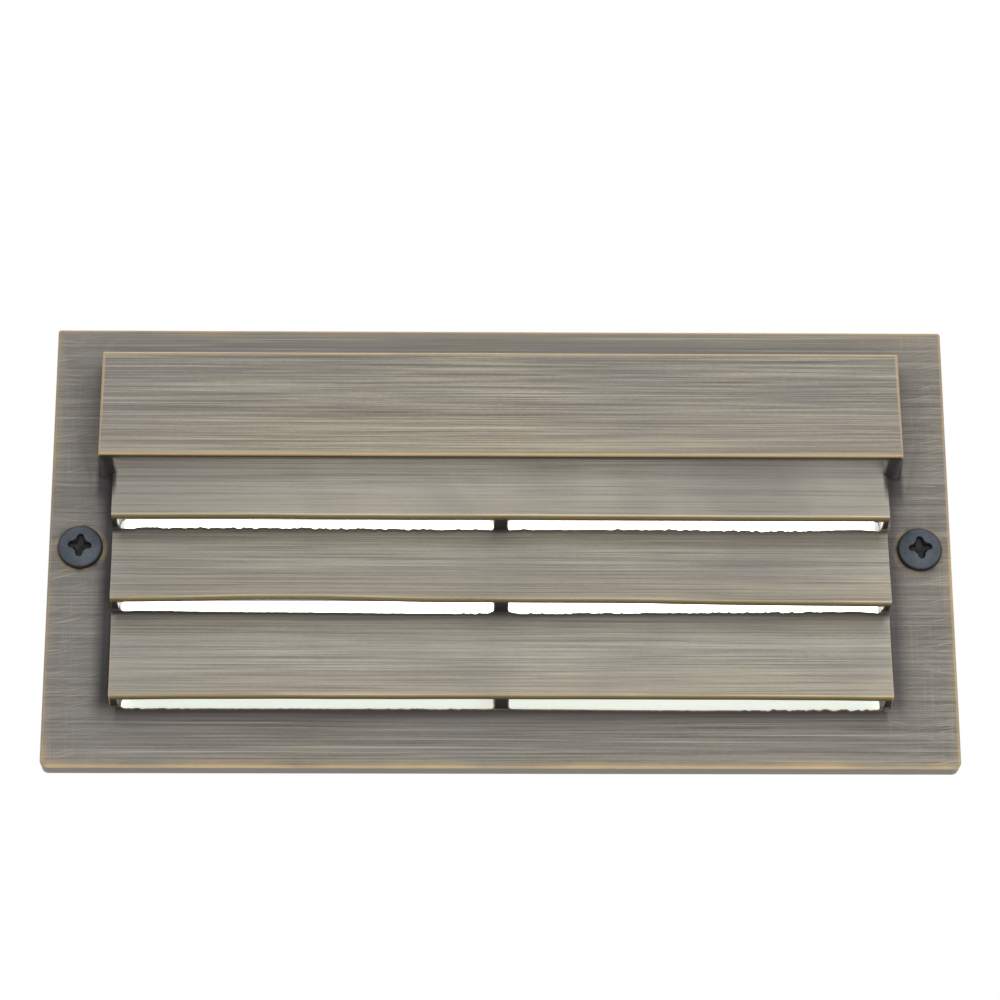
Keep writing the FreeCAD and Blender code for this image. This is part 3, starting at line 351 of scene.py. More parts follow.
def build_edge_wear_and_corner_shade(name):
    """A mask of the outer edges, broken up by noise, and one of painted shade in the inner corners."""
    inputs = {"Radius": 0.7 * MM, "Full": 0.2, "Reach": 6 * MM}
    group, given, result = new_group(name, inputs, "Edge", "Corner")
    bevel = node(group, "ShaderNodeBevel", {"Radius": given["Radius"]}, samples=8)
    normal = node(group, "ShaderNodeNewGeometry").outputs["Normal"]
    facing = node(group, "ShaderNodeVectorMath", {0: bevel.outputs[0], 1: normal},
                  operation="DOT_PRODUCT").outputs["Value"]
    turned = span(group, less(group, 1.0, facing), times(group, given["Full"], 0.1), given["Full"])
    near = node(group, "ShaderNodeAmbientOcclusion",
                {"Distance": times(group, given["Radius"], 3.0)}, samples=6)
    outer = span(group, near.outputs["AO"], 0.55, 0.9)
    uneven = noise_at(group, given["Vector"], 160.0, 4.0, Roughness=0.6)
    broken = span(group, uneven, 0.3, 0.6, 0.3, 1.0)
    group.links.new(times(group, turned, outer, broken), result["Edge"])
    far = node(group, "ShaderNodeAmbientOcclusion", {"Distance": given["Reach"]}, samples=8)
    group.links.new(span(group, far.outputs["AO"], 0.96, 0.48), result["Corner"])
    return group


def build_scratches(name):
    """Short, slightly curved scratches that lean to one side."""
    group, given, result = new_group(name, {"Lean": 0.12, "Seed": 0.0}, "Scratch")
    x, y, z = axes(group, given["Vector"])
    bend = times(group, noise_at(group, given["Vector"], 32.0, 1.0), 3.5 * MM)
    height = plus(group, z, bend, times(group, x, given["Lean"]))
    line = vector(group, times(group, x, 75.0), given["Seed"], times(group, height, 3600.0))
    texture = noise_at(group, line, 1.0, 1.0, Roughness=0.4)
    group.links.new(span(group, texture, 0.61, 0.69), result["Scratch"])
    return group


def build_cast_skin(name):
    """Fine pimples and shallow dents of a casting or a moulding, as a height."""
    group, given, result = new_group(name, {"Grit": 2600.0, "Dents": 260.0}, "Height")
    grit = noise_at(group, given["Vector"], given["Grit"], 3.0, Roughness=0.6)
    dents = noise_at(group, given["Vector"], given["Dents"], 2.0)
    height = plus(group, times(group, dents, 0.6), times(group, grit, 0.4))
    group.links.new(height, result["Height"])
    return group


def grain(tree, where, **values):
    """Noise drawn out along X, from 0 to 1."""
    return use(tree, shared("drawn grain", build_grain), Vector=where, **values)["Grain"]


def blotch(tree, where, **values):
    """Soft patches, from 0 to 1."""
    return use(tree, shared("blotches", build_blotch), Vector=where, **values)["Patch"]


def edge_wear_and_corner_shade(tree, where, **values):
    """The masks of the outer edges and of painted shade in the inner corners."""
    outputs = use(tree, shared("edge wear", build_edge_wear_and_corner_shade), Vector=where, **values)
    return outputs["Edge"], outputs["Corner"]


def scratches(tree, where, **values):
    """A mask of leaning scratches."""
    return use(tree, shared("scratches", build_scratches), Vector=where, **values)["Scratch"]


def cast_skin(tree, where, **values):
    """The height of a cast or moulded skin."""
    return use(tree, shared("cast skin", build_cast_skin), Vector=where, **values)["Height"]


def new_material(name, **plain):
    """A material with its Principled shader and the object's own coordinates. plain values are set on
    the shader's sockets, with an underscore for a blank."""
    material = bpy.data.materials.new(name)
    material.use_nodes = True
    tree = material.node_tree
    shader = tree.nodes["Principled BSDF"]
    for label, given in plain.items():
        shader.inputs[label.replace("_", " ")].default_value = given
    where = node(tree, "ShaderNodeTexCoord").outputs["Object"]
    return material, tree, shader, where


def bump(tree, shader, height, depth, strength=1.0):
    """Give the shader a relief of that depth in metres."""
    inputs = {"Height": height, "Distance": depth, "Strength": strength}
    feed(tree, shader, Normal=node(tree, "ShaderNodeBump", inputs).outputs[0])


# ---------------------------------------------------------------- the faceplate's finish

class CastingPlace:
    """Where a point of the faceplate lies, as outputs that the layers of its finish share."""

    def __init__(self, tree, where):
        self.where = where
        self.x, self.y, self.z = axes(tree, where)
        self.aside = calc(tree, "ABSOLUTE", self.x)
        self.on_plate = ramp(tree, self.y, FRONT, -0.5, -0.1)
        self.off_plate = less(tree, 1.0, self.on_plate)
        self.to_edge = calc(tree, "MINIMUM", less(tree, HALF_WIDTH, self.aside),
                            less(tree, HALF_HEIGHT, calc(tree, "ABSOLUTE", self.z)))
        self.cloud = blotch(tree, where, Scale=45.0, Low=0.3, High=0.7)
        ragged = plus(tree, self.aside, times(tree, self.cloud, 6 * MM))
        self.margin = times(tree, self.on_plate, span(tree, ragged, *MARGIN))


def brass_finish(look):
    """Brushed antique brass: long streaks, smoother side margins with hand scratches, cool patches of
    patina, bare edges, unbrushed undersides and a pale ring round each screw; painted light on the
    blades, most under the hood, and painted shade in the corners, beside the louvres, under the slots
    and lips, in the hood's nook and over the left end."""
    material, tree, shader, where = new_material("antique_brass", Metallic=0.22)
    at = CastingPlace(tree, where)
    brushed = brush_marks(tree, where)
    level = blend_in(tree, times(tree, at.margin, 0.1), grey(tree, brushed), (0.48,) * 3)
    sheltered = shelter(tree, at)
    crossed = crossed_scratches(tree, where)
    flank = hood_flank(tree, at)
    edge, corner = edge_wear_and_corner_shade(tree, where, Radius=0.7 * MM, Full=0.035, Reach=9 * MM)
    shade = paint(tree, brushed_shade(tree, at, level, look),
                  # painted light on the blades, strongest on the blade in the hood's shade
                  (painted_blade_light_mask(tree, at, sheltered), 1.0, painted_blade_light_tones(tree, level, look)),
                  (lip_warmth(tree, at, level), 1.0, look.warm),
                  (plate_top(tree, at), 0.55, look.body),
                  (patina_and_left_end_shade(tree, at), 0.3, look.blue),
                  (hairlines(tree, at), 1.0, look.light),
                  (times(tree, crossed, at.margin), 0.5, look.light),
                  (upright_marks(tree, at), 0.35, look.light),
                  (plate_edges(tree, at), 1.0, look.gold),
                  (dark_corners(tree, at, corner, sheltered), 1.0, look.hollow),
                  (facing_down(tree), 1.0, underside_shade(tree, at, look)),
                  (worn_edges(tree, at, edge, flank), 0.78, look.gold),
                  (hood_nook_shade(tree, at, flank), 0.85, look.hollow),
                  (screw_rings(tree, at), 0.35, look.gold))
    feed(tree, shader, Base_Color=shade, Roughness=span(tree, level, 0.1, 0.9, 0.6, 0.45))
    bump(tree, shader, plus(tree, brushed, times(tree, crossed, -0.25)), 0.02 * MM, 0.3)
    return material


def brush_marks(tree, where):
    """Streaks of three widths and a speckle, mixed to one value."""
    streaks = grain(tree, where, Along=20.0, Across=2500.0, Low=0.38, High=0.62)
    speckle = grain(tree, where, Along=700.0, Across=2600.0, Seed=6.6, Low=0.3, High=0.7)
    broad = grain(tree, where, Along=14.0, Across=1150.0, Seed=3.7, Low=0.36, High=0.64)
    bands = grain(tree, where, Along=3.5, Across=300.0, Seed=8.1, Low=0.3, High=0.7)
    return plus(tree, times(tree, streaks, 0.46), times(tree, speckle, 0.14),
                times(tree, broad, 0.2), times(tree, bands, 0.2))


def brushed_shade(tree, at, level, look):
    """The tones of the brushed faces, darker on the flat plate."""
    raised = tones(tree, level, [(0.14, look.dark), (0.48, look.body), (0.86, look.light)])
    flat = tones(tree, level, [(0.16, scaled(look.plate, 0.6)), (0.5, look.plate),
                               (0.84, scaled(look.body, 1.15))])
    return blend_in(tree, at.on_plate, raised, flat)


def painted_blade_light_tones(tree, level, look):
    """The tones of the painted light on the blades."""
    return tones(tree, level, [(0.1, scaled(look.painted_blade_light, 0.6)), (0.5, look.painted_blade_light),
                               (0.9, scaled(look.painted_blade_light, 1.3))])


def shelter(tree, at):
    """A mask of the blade under the hood."""
    return times(tree, ramp(tree, at.z, LIPS[0], -0.6, 0.9), ramp(tree, at.z, HOOD_LIP, 10, 9),
                 ramp(tree, at.y, LIP_REACH, -2, -1), ramp(tree, at.aside, BLOCK_SIDE, 0.6, 0.2))


def painted_blade_light_mask(tree, at, sheltered):
    """A mask of painted light on the blade that the hood shades, and of a lighter tone on the lower
    blades.
    """
    under_hood = times(tree, sheltered, ramp(tree, at.z, LIPS[0], 0.4, 8.4, 0.7, 1.0))
    lower_blades = plus(tree, ramp(tree, at.z, LIPS[0], 0.9, -0.6, 0.0, 0.22),
                        ramp(tree, at.z, LIPS[1], 0.5, -1.5, 0.0, 0.02))
    return most(tree, under_hood, times(tree, lower_blades, at.off_plate))


def lip_warmth(tree, at, level):
    """A mask that rises towards each louvre lip and the hood's lip from above."""
    bands = [times(tree, ramp(tree, at.z, lip, 11, 1), ramp(tree, at.z, lip, -0.5, 0)) for lip in LIPS]
    hood = times(tree, ramp(tree, at.z, HOOD_LIP, 17, 1), ramp(tree, at.y, HOOD_REACH, 8, 7))
    return times(tree, plus(tree, hood, *bands), at.off_plate, span(tree, level, 0.2, 0.8, 0.1, 0.34))


def plate_top(tree, at):
    """A mask of the strip of plate above the hood."""
    return times(tree, at.on_plate, ramp(tree, at.z, HOOD_TOP, -2.5, 1.5))


def patina_and_left_end_shade(tree, at):
    """A mask of patches of thick patina, and of painted shade over the whole left end."""
    return most(tree, blotch(tree, at.where, Scale=22.0, Low=0.42, High=0.66),
                ramp(tree, at.x, 0.0, -50, -100))


def hairlines(tree, at):
    """A mask of thin bright hairs along the streaks, fainter on the side margins."""
    hairs = grain(tree, at.where, Along=9.0, Across=2100.0, Seed=5.3, Low=0.58, High=0.65)
    return times(tree, hairs, span(tree, at.margin, 0.0, 1.0, 0.62, 0.3))


def crossed_scratches(tree, where):
    """A mask of scratches that lean one way in some patches and the other way in the rest."""
    patch = blotch(tree, where, Scale=60.0, Low=0.5, High=0.56)
    return most(tree, times(tree, scratches(tree, where, Lean=0.12, Seed=1.0), patch),
                times(tree, scratches(tree, where, Lean=-0.16, Seed=9.0), less(tree, 1.0, patch)))


def upright_marks(tree, at):
    """A mask of marks that run up and down the side margins."""
    marks = grain(tree, vector(tree, at.z, at.y, at.x), Along=60.0, Across=1500.0, Seed=2.2,
                  Low=0.56, High=0.7)
    return times(tree, marks, at.cloud, at.margin)


def plate_edges(tree, at):
    """A mask of the warm metal along the plate's outer edges, stronger near its foot."""
    return times(tree, ramp(tree, at.to_edge, 0.0, 0.5, 3.0, 1.0, 0.0), at.cloud, at.on_plate,
                 ramp(tree, at.z, -HALF_HEIGHT, 8.5, 4.5, 0.25, 0.6))


def dark_corners(tree, at, corner, sheltered):
    """A mask of painted shade and patina in the inner corners, and of the painted shade beside the
    louvres and under the slots.
    """
    inner = times(tree, corner, span(tree, at.on_plate, 0.0, 1.0, 0.3, 0.9),
                  less(tree, 1.0, sheltered))
    return most(tree, inner, block_shade(tree, at), sill_shade(tree, at))


def block_shade(tree, at):
    """A mask of the shade on the plate close beside the louvres, deeper on the left."""
    return times(tree, ramp(tree, at.aside, BLOCK_SIDE, 0.8, 4.4, 1.0, 0.0),
                 ramp(tree, at.z, LIPS[2], -4.8, 1.2), ramp(tree, at.z, HOOD_LIP, 5.4, -0.6),
                 ramp(tree, at.x, 0.0, -50, 50, 1.0, 0.75), at.on_plate)


def sill_shade(tree, at):
    """A mask of the dark band just under each slot."""
    bands = [times(tree, ramp(tree, at.z, lip - SILL_DROP, -5.0, -0.2, 0.0, weight),
                   ramp(tree, at.z, lip - SILL_DROP, 2.2, 1.2))
             for lip, weight in zip(LIPS, (0.62, 0.66, 1.0))]
    return times(tree, plus(tree, *bands), ramp(tree, at.y, FRONT, -4.5, -3.5),
                 ramp(tree, at.aside, SLOT_HALF[0], 0.9, -1.1))


def facing_down(tree):
    """A mask of what faces down."""
    normal = node(tree, "ShaderNodeNewGeometry").outputs["Normal"]
    return span(tree, axes(tree, normal)["Z"], -0.45, -0.85)


def underside_shade(tree, at, look):
    """Olive behind the lips' front edges, painted shade further in, and a darker body tone at the
    plate's foot."""
    lip_front = ramp(tree, at.z, HOOD_LIP, -2, -1, LIP_REACH, HOOD_REACH)
    fades = ramp(tree, at.z, HOOD_LIP, -2, -1, 3.6 * MM, 1.3 * MM)
    further_in = span(tree, less(tree, at.y, lip_front), 0.3 * MM, fades)
    return paint(tree, look.olive,
                 (further_in, 1.0, scaled(look.hollow, 0.6)),
                 (ramp(tree, at.z, -HALF_HEIGHT, 2, 1), 1.0, scaled(look.body, 0.76)))


def hood_flank(tree, at):
    """A mask of the strip between the louvres' ends and the hood's ends, up to the hood's lip."""
    return times(tree, ramp(tree, at.aside, BLOCK_SIDE, -1.6, -0.8),
                 ramp(tree, at.aside, HOOD_SIDE, 2.0, 0.8), ramp(tree, at.z, HOOD_LIP, 2, 0.5))


def hood_nook_shade(tree, at, flank):
    """A mask of the painted shade in the nook where the hood's end runs down into the louvre block."""
    return times(tree, flank, ramp(tree, at.z, HOOD_LIP, -8.6, -3.6),
                 ramp(tree, at.y, HOOD_REACH, 1.2, 2.4))


def worn_edges(tree, at, edge, flank):
    """A mask of the rubbed edges, with the plate's rim and the hood's outline."""
    left_end = ramp(tree, at.x, -HALF_WIDTH, 1, 2, 0.45, 1.0)
    outline = times(tree, most(tree, rim_line(tree, at), hood_line(tree, at)), left_end,
                    span(tree, at.cloud, 0.0, 1.0, 0.55, 1.0))
    return most(tree, times(tree, edge, less(tree, 1.0, flank)), outline)


def rim_line(tree, at):
    """A mask of the bevel round the plate's front."""
    return times(tree, ramp(tree, at.y, FRONT, 0.75, 0.6), ramp(tree, at.to_edge, 0.0, 0.85, 0.5))


def hood_line(tree, at):
    """A mask of the rounded outline of the hood's front."""
    top = ramp(tree, at.z, HOOD_TOP, -1.0, -0.6)
    lip = times(tree, ramp(tree, at.z, HOOD_LIP, 0.85, 0.45), ramp(tree, at.y, HOOD_REACH, 1.2, 0.6))
    slope = span(tree, at.z, HOOD_LIP, HOOD_TOP, HOOD_REACH, HOOD_REACH + 5.5 * MM)
    side = times(tree, ramp(tree, at.aside, HOOD_SIDE, -0.75, -0.4),
                 span(tree, less(tree, at.y, slope), 1.9 * MM, 1.2 * MM))
    return times(tree, most(tree, top, lip, side), ramp(tree, at.y, HOOD_REACH, 7, 6),
                 ramp(tree, at.z, HOOD_LIP, -1.5, -0.5))


def screw_distance(tree, x, z):
    """The distance from the nearer face screw's axis."""
    aside = less(tree, calc(tree, "ABSOLUTE", x), SCREW_X)
    rise = less(tree, z, SCREW_Z)
    return calc(tree, "SQRT", plus(tree, times(tree, aside, aside), times(tree, rise, rise)))


def screw_rings(tree, at):
    """A mask of the broken pale ring round each face screw."""
    return times(tree, ramp(tree, screw_distance(tree, at.x, at.z), 0.0, 6.0, 7.3, 1.0, 0.0),
                 blotch(tree, at.where, Scale=240.0, Low=0.36, High=0.6))


# ---------------------------------------------------------------- the other finishes

def black_oxide_finish(look):
    """Blackened steel, dull blue-grey on top, with paler rubbed edges, painted shade in the recess and
    a painted black shadow on the head's side and round its rim.
    """
    material, tree, shader, where = new_material("black_oxide", Metallic=0.3)
    x, y, z = axes(tree, where)
    cloud = blotch(tree, where, Scale=620.0, Low=0.3, High=0.7)
    shade = tones(tree, cloud, [(0.0, scaled(look.tint, 0.62)), (1.0, look.tint)])
    edge, corner = edge_wear_and_corner_shade(tree, where, Radius=0.3 * MM, Full=0.2, Reach=3 * MM)
    # side: painted shadow on the head's side and round its outer rim
    side = most(tree, ramp(tree, y, FRONT - look.side_height, 0.0, 0.25),
                ramp(tree, screw_distance(tree, x, z), look.head_radius, -0.65, -0.2))
    # corner: painted shade in the recess and at the head's foot
    shade = paint(tree, shade, (edge, 0.6, srgb(128, 131, 138)), (corner, 0.92, srgb(18, 19, 24)),
                  (side, 0.9, srgb(16, 16, 18)))
    feed(tree, shader, Base_Color=shade, Roughness=span(tree, cloud, 0.0, 1.0, 0.5, 0.62))
    bump(tree, shader, cast_skin(tree, where, Grit=5200.0, Dents=900.0), 0.03 * MM, 0.6)
    return material


def lit_glass_finish(glow):
    """Frosted glass lit from behind, far brighter behind the upper slots than behind the lowest."""
    material, tree, shader, where = new_material(
        "frosted_glass", Roughness=0.55, IOR=1.5, Emission_Strength=glow.strength)
    height = span(tree, axes(tree, where)["Z"], LIPS[2] + 8.2 * MM, LIPS[1] - 10 * MM)
    shade = tones(tree, height, [(0.0, scaled(glow.lower, 1 / glow.strength)), (1.0, glow.upper)])
    cloud = blotch(tree, where, Scale=60.0, Low=0.2, High=0.8)
    shade = paint(tree, shade, (cloud, 0.08, (0.0, 0.0, 0.0)))
    frost = tones(tree, cloud, [(0.0, srgb(226, 232, 228)), (1.0, srgb(240, 244, 240))])
    feed(tree, shader, Emission_Color=shade, Base_Color=frost)
    bump(tree, shader, cast_skin(tree, where, Grit=4000.0, Dents=700.0), 0.02 * MM, 0.4)
    return material


def silicone_finish():
    """Milky silicone with a painted glow, as if lit through the glass it holds."""
    material, tree, shader, where = new_material(
        "milky_silicone", Roughness=0.5, Emission_Strength=0.75)
    cloud = blotch(tree, where, Scale=300.0, Low=0.2, High=0.8)
    shade = tones(tree, cloud, [(0.0, srgb(214, 220, 214)), (1.0, srgb(240, 244, 238))])
    feed(tree, shader, Base_Color=shade, Emission_Color=shade)
    bump(tree, shader, cast_skin(tree, where, Grit=3000.0, Dents=400.0), 0.02 * MM, 0.5)
    return material


def surface(name, dark, light, scale=300.0, worn=None, wear=0.5, rough=(0.4, 0.6), relief=0.00003,
            grit=2600.0, dents=260.0, drawn=None, corner=0.5, **plain):
    """A finish of two close tones with a skin, painted shade in its corners and, if worn is a colour,
    rubbed edges. drawn holds (along, across) of a directional grain that stands in for the patches."""
    material, tree, shader, where = new_material(name, **plain)
    if drawn:
        pattern = grain(tree, where, Along=drawn[0], Across=drawn[1], Low=0.3, High=0.7)
    else:
        pattern = blotch(tree, where, Scale=scale, Low=0.25, High=0.75)
    shade = tones(tree, pattern, [(0.0, dark), (1.0, light)])
    edge, hollow = edge_wear_and_corner_shade(tree, where, Radius=0.5 * MM, Full=0.25, Reach=4 * MM)
    # painted shade in the corners
    shade = paint(tree, shade, (hollow, corner, scaled(dark, 0.45)))
    if worn:
        shade = paint(tree, shade, (edge, wear, worn))
    feed(tree, shader, Base_Color=shade, Roughness=span(tree, pattern, 0.0, 1.0, *rough))
    skin = cast_skin(tree, where, Grit=grit, Dents=dents)
    if drawn:
        skin = plus(tree, times(tree, skin, 0.3), pattern)
    bump(tree, shader, skin, relief, 0.7)
    return material


def grey_casting_finish():
    """Textured grey paint over a die casting."""
    return surface("grey_casting", srgb(112, 113, 116), srgb(132, 133, 135), scale=90.0,
                   worn=srgb(176, 178, 180), wear=0.7, rough=(0.5, 0.66), relief=0.00025,
                   grit=2200.0, dents=620.0)


def gasket_finish():
    """Matt black rubber with a bloom of dust."""
    return surface("seal_rubber", srgb(34, 34, 35), srgb(58, 58, 58), scale=140.0,
                   rough=(0.72, 0.85), relief=0.00005, grit=3200.0)


def plain_brass_finish():
    """Machined brass inserts."""
    return surface("plain_brass", srgb(178, 142, 78), srgb(214, 180, 112), drawn=(1800.0, 260.0),
                   worn=srgb(236, 208, 150), rough=(0.22, 0.36), Metallic=1.0)


def white_enamel_finish():
    """Gloss white reflector."""
    return surface("white_enamel", srgb(232, 233, 230), srgb(246, 247, 244), scale=60.0,
                   rough=(0.16, 0.3), relief=0.00002, dents=180.0, corner=0.15, Coat_Weight=0.4)


def mill_aluminium_finish():
    """Rolled sheet with its mill lines along X."""
    return surface("mill_aluminium", srgb(186, 188, 190), srgb(214, 216, 218), drawn=(14.0, 2400.0),
                   worn=srgb(236, 238, 240), rough=(0.3, 0.46), Metallic=1.0)


def thermal_rubber_finish():
    """Soft grey-blue gap pad."""
    return surface("thermal_rubber", srgb(150, 160, 170), srgb(176, 186, 194), scale=500.0,
                   rough=(0.6, 0.75), relief=0.00006)


def white_board_finish():
    """White solder resist with the weave of the board faintly under it."""
    material, tree, shader, where = new_material("white_board", Specular_IOR_Level=0.5)
    threads = [node(tree, "ShaderNodeTexWave", {"Vector": where, "Scale": 420.0, "Distortion": 0.3},
                    wave_type="BANDS", bands_direction=way).outputs["Fac"] for way in "XZ"]
    cloth = times(tree, *threads)
    shade = tones(tree, cloth, [(0.0, srgb(228, 231, 228)), (1.0, srgb(244, 246, 243))])
    feed(tree, shader, Base_Color=shade, Roughness=span(tree, cloth, 0.0, 1.0, 0.3, 0.42))
    bump(tree, shader, cloth, 0.02 * MM, 0.4)
    return material


def lamp_resin_finish():
    """Yellow phosphor under clear resin."""
    return surface("lamp_resin", srgb(236, 206, 96), srgb(250, 232, 150), scale=900.0,
                   rough=(0.2, 0.35), relief=0.00002, grit=6000.0, corner=0.3)


def zinc_finish():
    """Zinc plate, faintly yellow and blue in patches."""
    return surface("zinc_steel", srgb(168, 172, 180), srgb(206, 202, 188), scale=700.0,
                   worn=srgb(230, 230, 228), rough=(0.24, 0.4), grit=5000.0, Metallic=1.0)


def black_plastic_finish():
    """Spark-eroded black plastic of the potted driver."""
    return surface("black_plastic", srgb(38, 38, 40), srgb(56, 56, 58), scale=260.0,
                   worn=srgb(88, 88, 90), rough=(0.5, 0.64), relief=0.00006, grit=1800.0)


def pale_plastic_finish():
    """Off-white terminal block."""
    return surface("pale_plastic", srgb(222, 219, 206), srgb(238, 236, 226), scale=180.0,
                   worn=srgb(246, 245, 240), rough=(0.36, 0.5), relief=0.00003)


def green_steel_finish():
    """Green passivated earth screw."""
    return surface("green_steel", srgb(44, 112, 62), srgb(78, 150, 92), scale=600.0,
                   worn=srgb(150, 190, 150), rough=(0.28, 0.42), Metallic=0.8)


# ---------------------------------------------------------------- mesh helpers

def new_piece(name, vertices, faces, smooth_angle=0.6):
    """A mesh object, smooth but for edges sharper than smooth_angle."""
    mesh = bpy.data.meshes.new(name)
    mesh.from_pydata([tuple(vertex) for vertex in vertices], [], faces)
    return finished_piece(name, mesh, smooth_angle)


def finished_piece(name, mesh, smooth_angle):
    """An object of a mesh, smooth but for edges sharper than smooth_angle."""
    mesh.validate()
    mesh.shade_smooth()
    mesh.set_sharp_from_angle(angle=smooth_angle)
    piece = bpy.data.objects.new(name, mesh)
    bpy.context.scene.collection.objects.link(piece)
    return piece


def hand_over(piece, slot, material, *nodes):
    """Give a piece its finish and its body, and hide the CAD nodes it stands for."""
    piece.data.materials.clear()
    piece.data.materials.append(material)
    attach(piece, "root")
    if nodes:
        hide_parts(*nodes)


def dress(material, *nodes):
    """Give CAD nodes that stay as they are their finish."""
    for name in nodes:
        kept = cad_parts[name]
        if not kept.material_slots:
            kept.data.materials.append(material)
        for slot in kept.material_slots:
            slot.material = material


def lathe(rings):
    """Vertices and faces of a turned skin, closed at both ends. rings holds rows of points, all
    equally long."""
    count = len(rings[0])
    vertices = [point for ring in rings for point in ring]
    faces = []
    for level in range(len(rings) - 1):
        for step in range(count):
            after = (step + 1) % count
            faces.append((level * count + step, level * count + after,
                          (level + 1) * count + after, (level + 1) * count + step))
    faces.append(tuple(reversed(range(count))))
    faces.append(tuple((len(rings) - 1) * count + step for step in range(count)))
    return vertices, faces


# ---------------------------------------------------------------- faceplate

def sway(x, seed, waves_per_metre):
    """A smooth wave along X between -1 and 1 that never repeats."""
    return noise.noise(Vector((x * waves_per_metre, seed, 0.5)))


def bow(bows, x):
    """The rise at x of a line of bows, eased from one bow to the next."""
    place = x / MM
    before = bows[0]
    for after in bows:
        if place < after[0]:
            share = max(0.0, (place - before[0]) / (after[0] - before[0])) if after != before else 0.0
            ease = (1 - math.cos(math.pi * share)) / 2
            return (before[1] + (after[1] - before[1]) * ease) * MM
        before = after
    return before[1] * MM


def faceplate_mesh(sizes):
    """The casting with enough cross cuts to carry bowed lips and burred sills."""
    cast = bmesh.new()
    cast.from_mesh(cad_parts["faceplate"].data)
    bmesh.ops.remove_doubles(cast, verts=cast.verts, dist=1e-6)
    for vertex in cast.verts:
        square_slot_corner(vertex.co)

    for lip in LIPS:
        for rise in BURR_BAND:
            bmesh.ops.bisect_plane(cast, geom=cast.verts[:] + cast.edges[:] + cast.faces[:],
                                   dist=1e-6, plane_co=(0, 0, lip + rise), plane_no=(0, 0, 1))
    near_slots = [face for face in cast.faces
                  if any(BURR_BAND[0] < face.calc_center_median().z - lip < BURR_BAND[-1]
                         for lip in LIPS)]
    reach = SLOT_HALF[0] + 2 * MM
    slice_evenly(cast, near_slots, -reach, reach, int(2 * reach / sizes.burr_pitch))
    for vertex in cast.verts:
        vertex.co.z += unevenness(vertex.co, sizes)
    mesh = bpy.data.meshes.new("faceplate_casting")
    cast.to_mesh(mesh)
    cast.free()
    return mesh


def slice_evenly(cast, faces, low, high, parts):
    """Cut the faces into parts of equal width in x, halving the span each time."""
    if parts < 2 or not faces:
        return
    half = parts // 2
    middle = low + (high - low) * half / parts
    edges = dict.fromkeys(edge for face in faces for edge in face.edges)
    corners = dict.fromkeys(vertex for face in faces for vertex in face.verts)
    cut = bmesh.ops.bisect_plane(cast, geom=[*corners, *edges, *faces], dist=1e-6,
                                 plane_co=(middle, 0, 0), plane_no=(1, 0, 0))
    pieces = [item for item in cut["geom"] if isinstance(item, bmesh.types.BMFace)]
    left = [face for face in pieces if face.calc_center_median().x < middle]
    right = [face for face in pieces if face.calc_center_median().x >= middle]
    slice_evenly(cast, left, low, middle, half)
    slice_evenly(cast, right, middle, high, parts - half)


def square_slot_corner(place):
    """Move a point of a slot's rounded corner outwards, so that the corner is crisper. The outer ends
    on the left stay rounder."""
    squareness = 0.3 if place.x < -90 * MM else 0.8
    for lip, half in zip(LIPS, SLOT_HALF):
        along = abs(place.x) - (MULLION_HALF + half) / 2
        rise = place.z - lip + SILL_DROP - SLOT_HEIGHT / 2
        past = abs(along) - (half - MULLION_HALF) / 2 + SLOT_CORNER
        over = abs(rise) - SLOT_HEIGHT / 2 + SLOT_CORNER
        if past > 0 and over > 0 and 0.95 < math.hypot(past, over) / SLOT_CORNER < 1.05:
            grow = (math.hypot(past, over) / max(past, over)) ** squareness - 1
            place.x += math.copysign(past * grow, along * place.x)
            place.z += math.copysign(over * grow, rise)
            return


def unevenness(place, sizes):
    """How far a point of the casting strays up or down."""
    x, y, z = place
    above, below = 10 * MM, 1.9 * MM    # how far a lip's bow and a sill's burr reach
    slot_end = 6 * MM                   # the burr dies out over this length at a slot's ends
    for number, lip in enumerate(LIPS):
        rise = z - lip
        if y < FRONT - 3 * MM and -0.1 * MM < rise < above:
            fade = 1 - max(0.0, rise) / above
            ripple = sizes.lip_wave * (sway(x, number, 21) + 0.4 * sway(x, number + 7, 63))
            return fade * (sizes.bow * bow(LIP_BOWS[number], x) + ripple)
        sunk = abs(rise + SILL_DROP)
        inside = MULLION_HALF + 1 * MM < abs(x) < SLOT_HALF[number] - 1.5 * MM
        if inside and y > FRONT - 2 * MM and rise < 0 and sunk < below:
            fade = (1 - sunk / below) * (1.0 if y < FRONT + 1 * MM else 0.4)
            ends = min(1.0, (SLOT_HALF[number] - abs(x)) / slot_end, abs(x) / slot_end)
            patches = min(1.0, max(0.15, 0.5 + 2 * sway(x, number + 60, 26)))
            teeth = sizes.sill_burr * patches * sway(x, number + 40, 930)
            return fade * ends * (sizes.bow * bow(SILL_BOWS[number], x) + teeth)
    return 0.0


class STEPLIGHT_OT_faceplate(Operator):
    """Make the louvred faceplate with uneven lips, burred sills and the brushed antique finish"""
    bl_idname = "steplight.faceplate"
    bl_label = "Faceplate"

    def execute(self, context):
        scene = context.scene
        mesh = faceplate_mesh(scene.steplight_casting)
        piece = finished_piece("faceplate_casting", mesh, math.radians(24))
        weighted = piece.modifiers.new("flat faces lead", "WEIGHTED_NORMAL")
        weighted.weight = 80
        weighted.keep_sharp = True
        hand_over(piece, "antique_brass", brass_finish(scene.steplight_brass), "faceplate")
        return {"FINISHED"}


# ---------------------------------------------------------------- face screws

RINGS_IN_HEAD = 72
STEPS_IN_HEAD = 168
STEPS_PER_PITCH = 8
SCREW_TURNS = {"left": math.radians(-4.0), "right": math.radians(5.0)}
RECESS_FILLET = 1.15 * MM    # rounding of the corner between two wings of the cross recess
RECESS_WALL = 0.27 * MM      # width of the recess's sloping walls
RIM_START = 0.93             # where the head's rim starts to round, as a share of its radius
RIM_DROP = 0.28 * MM         # how far the rounding drops at the head's side


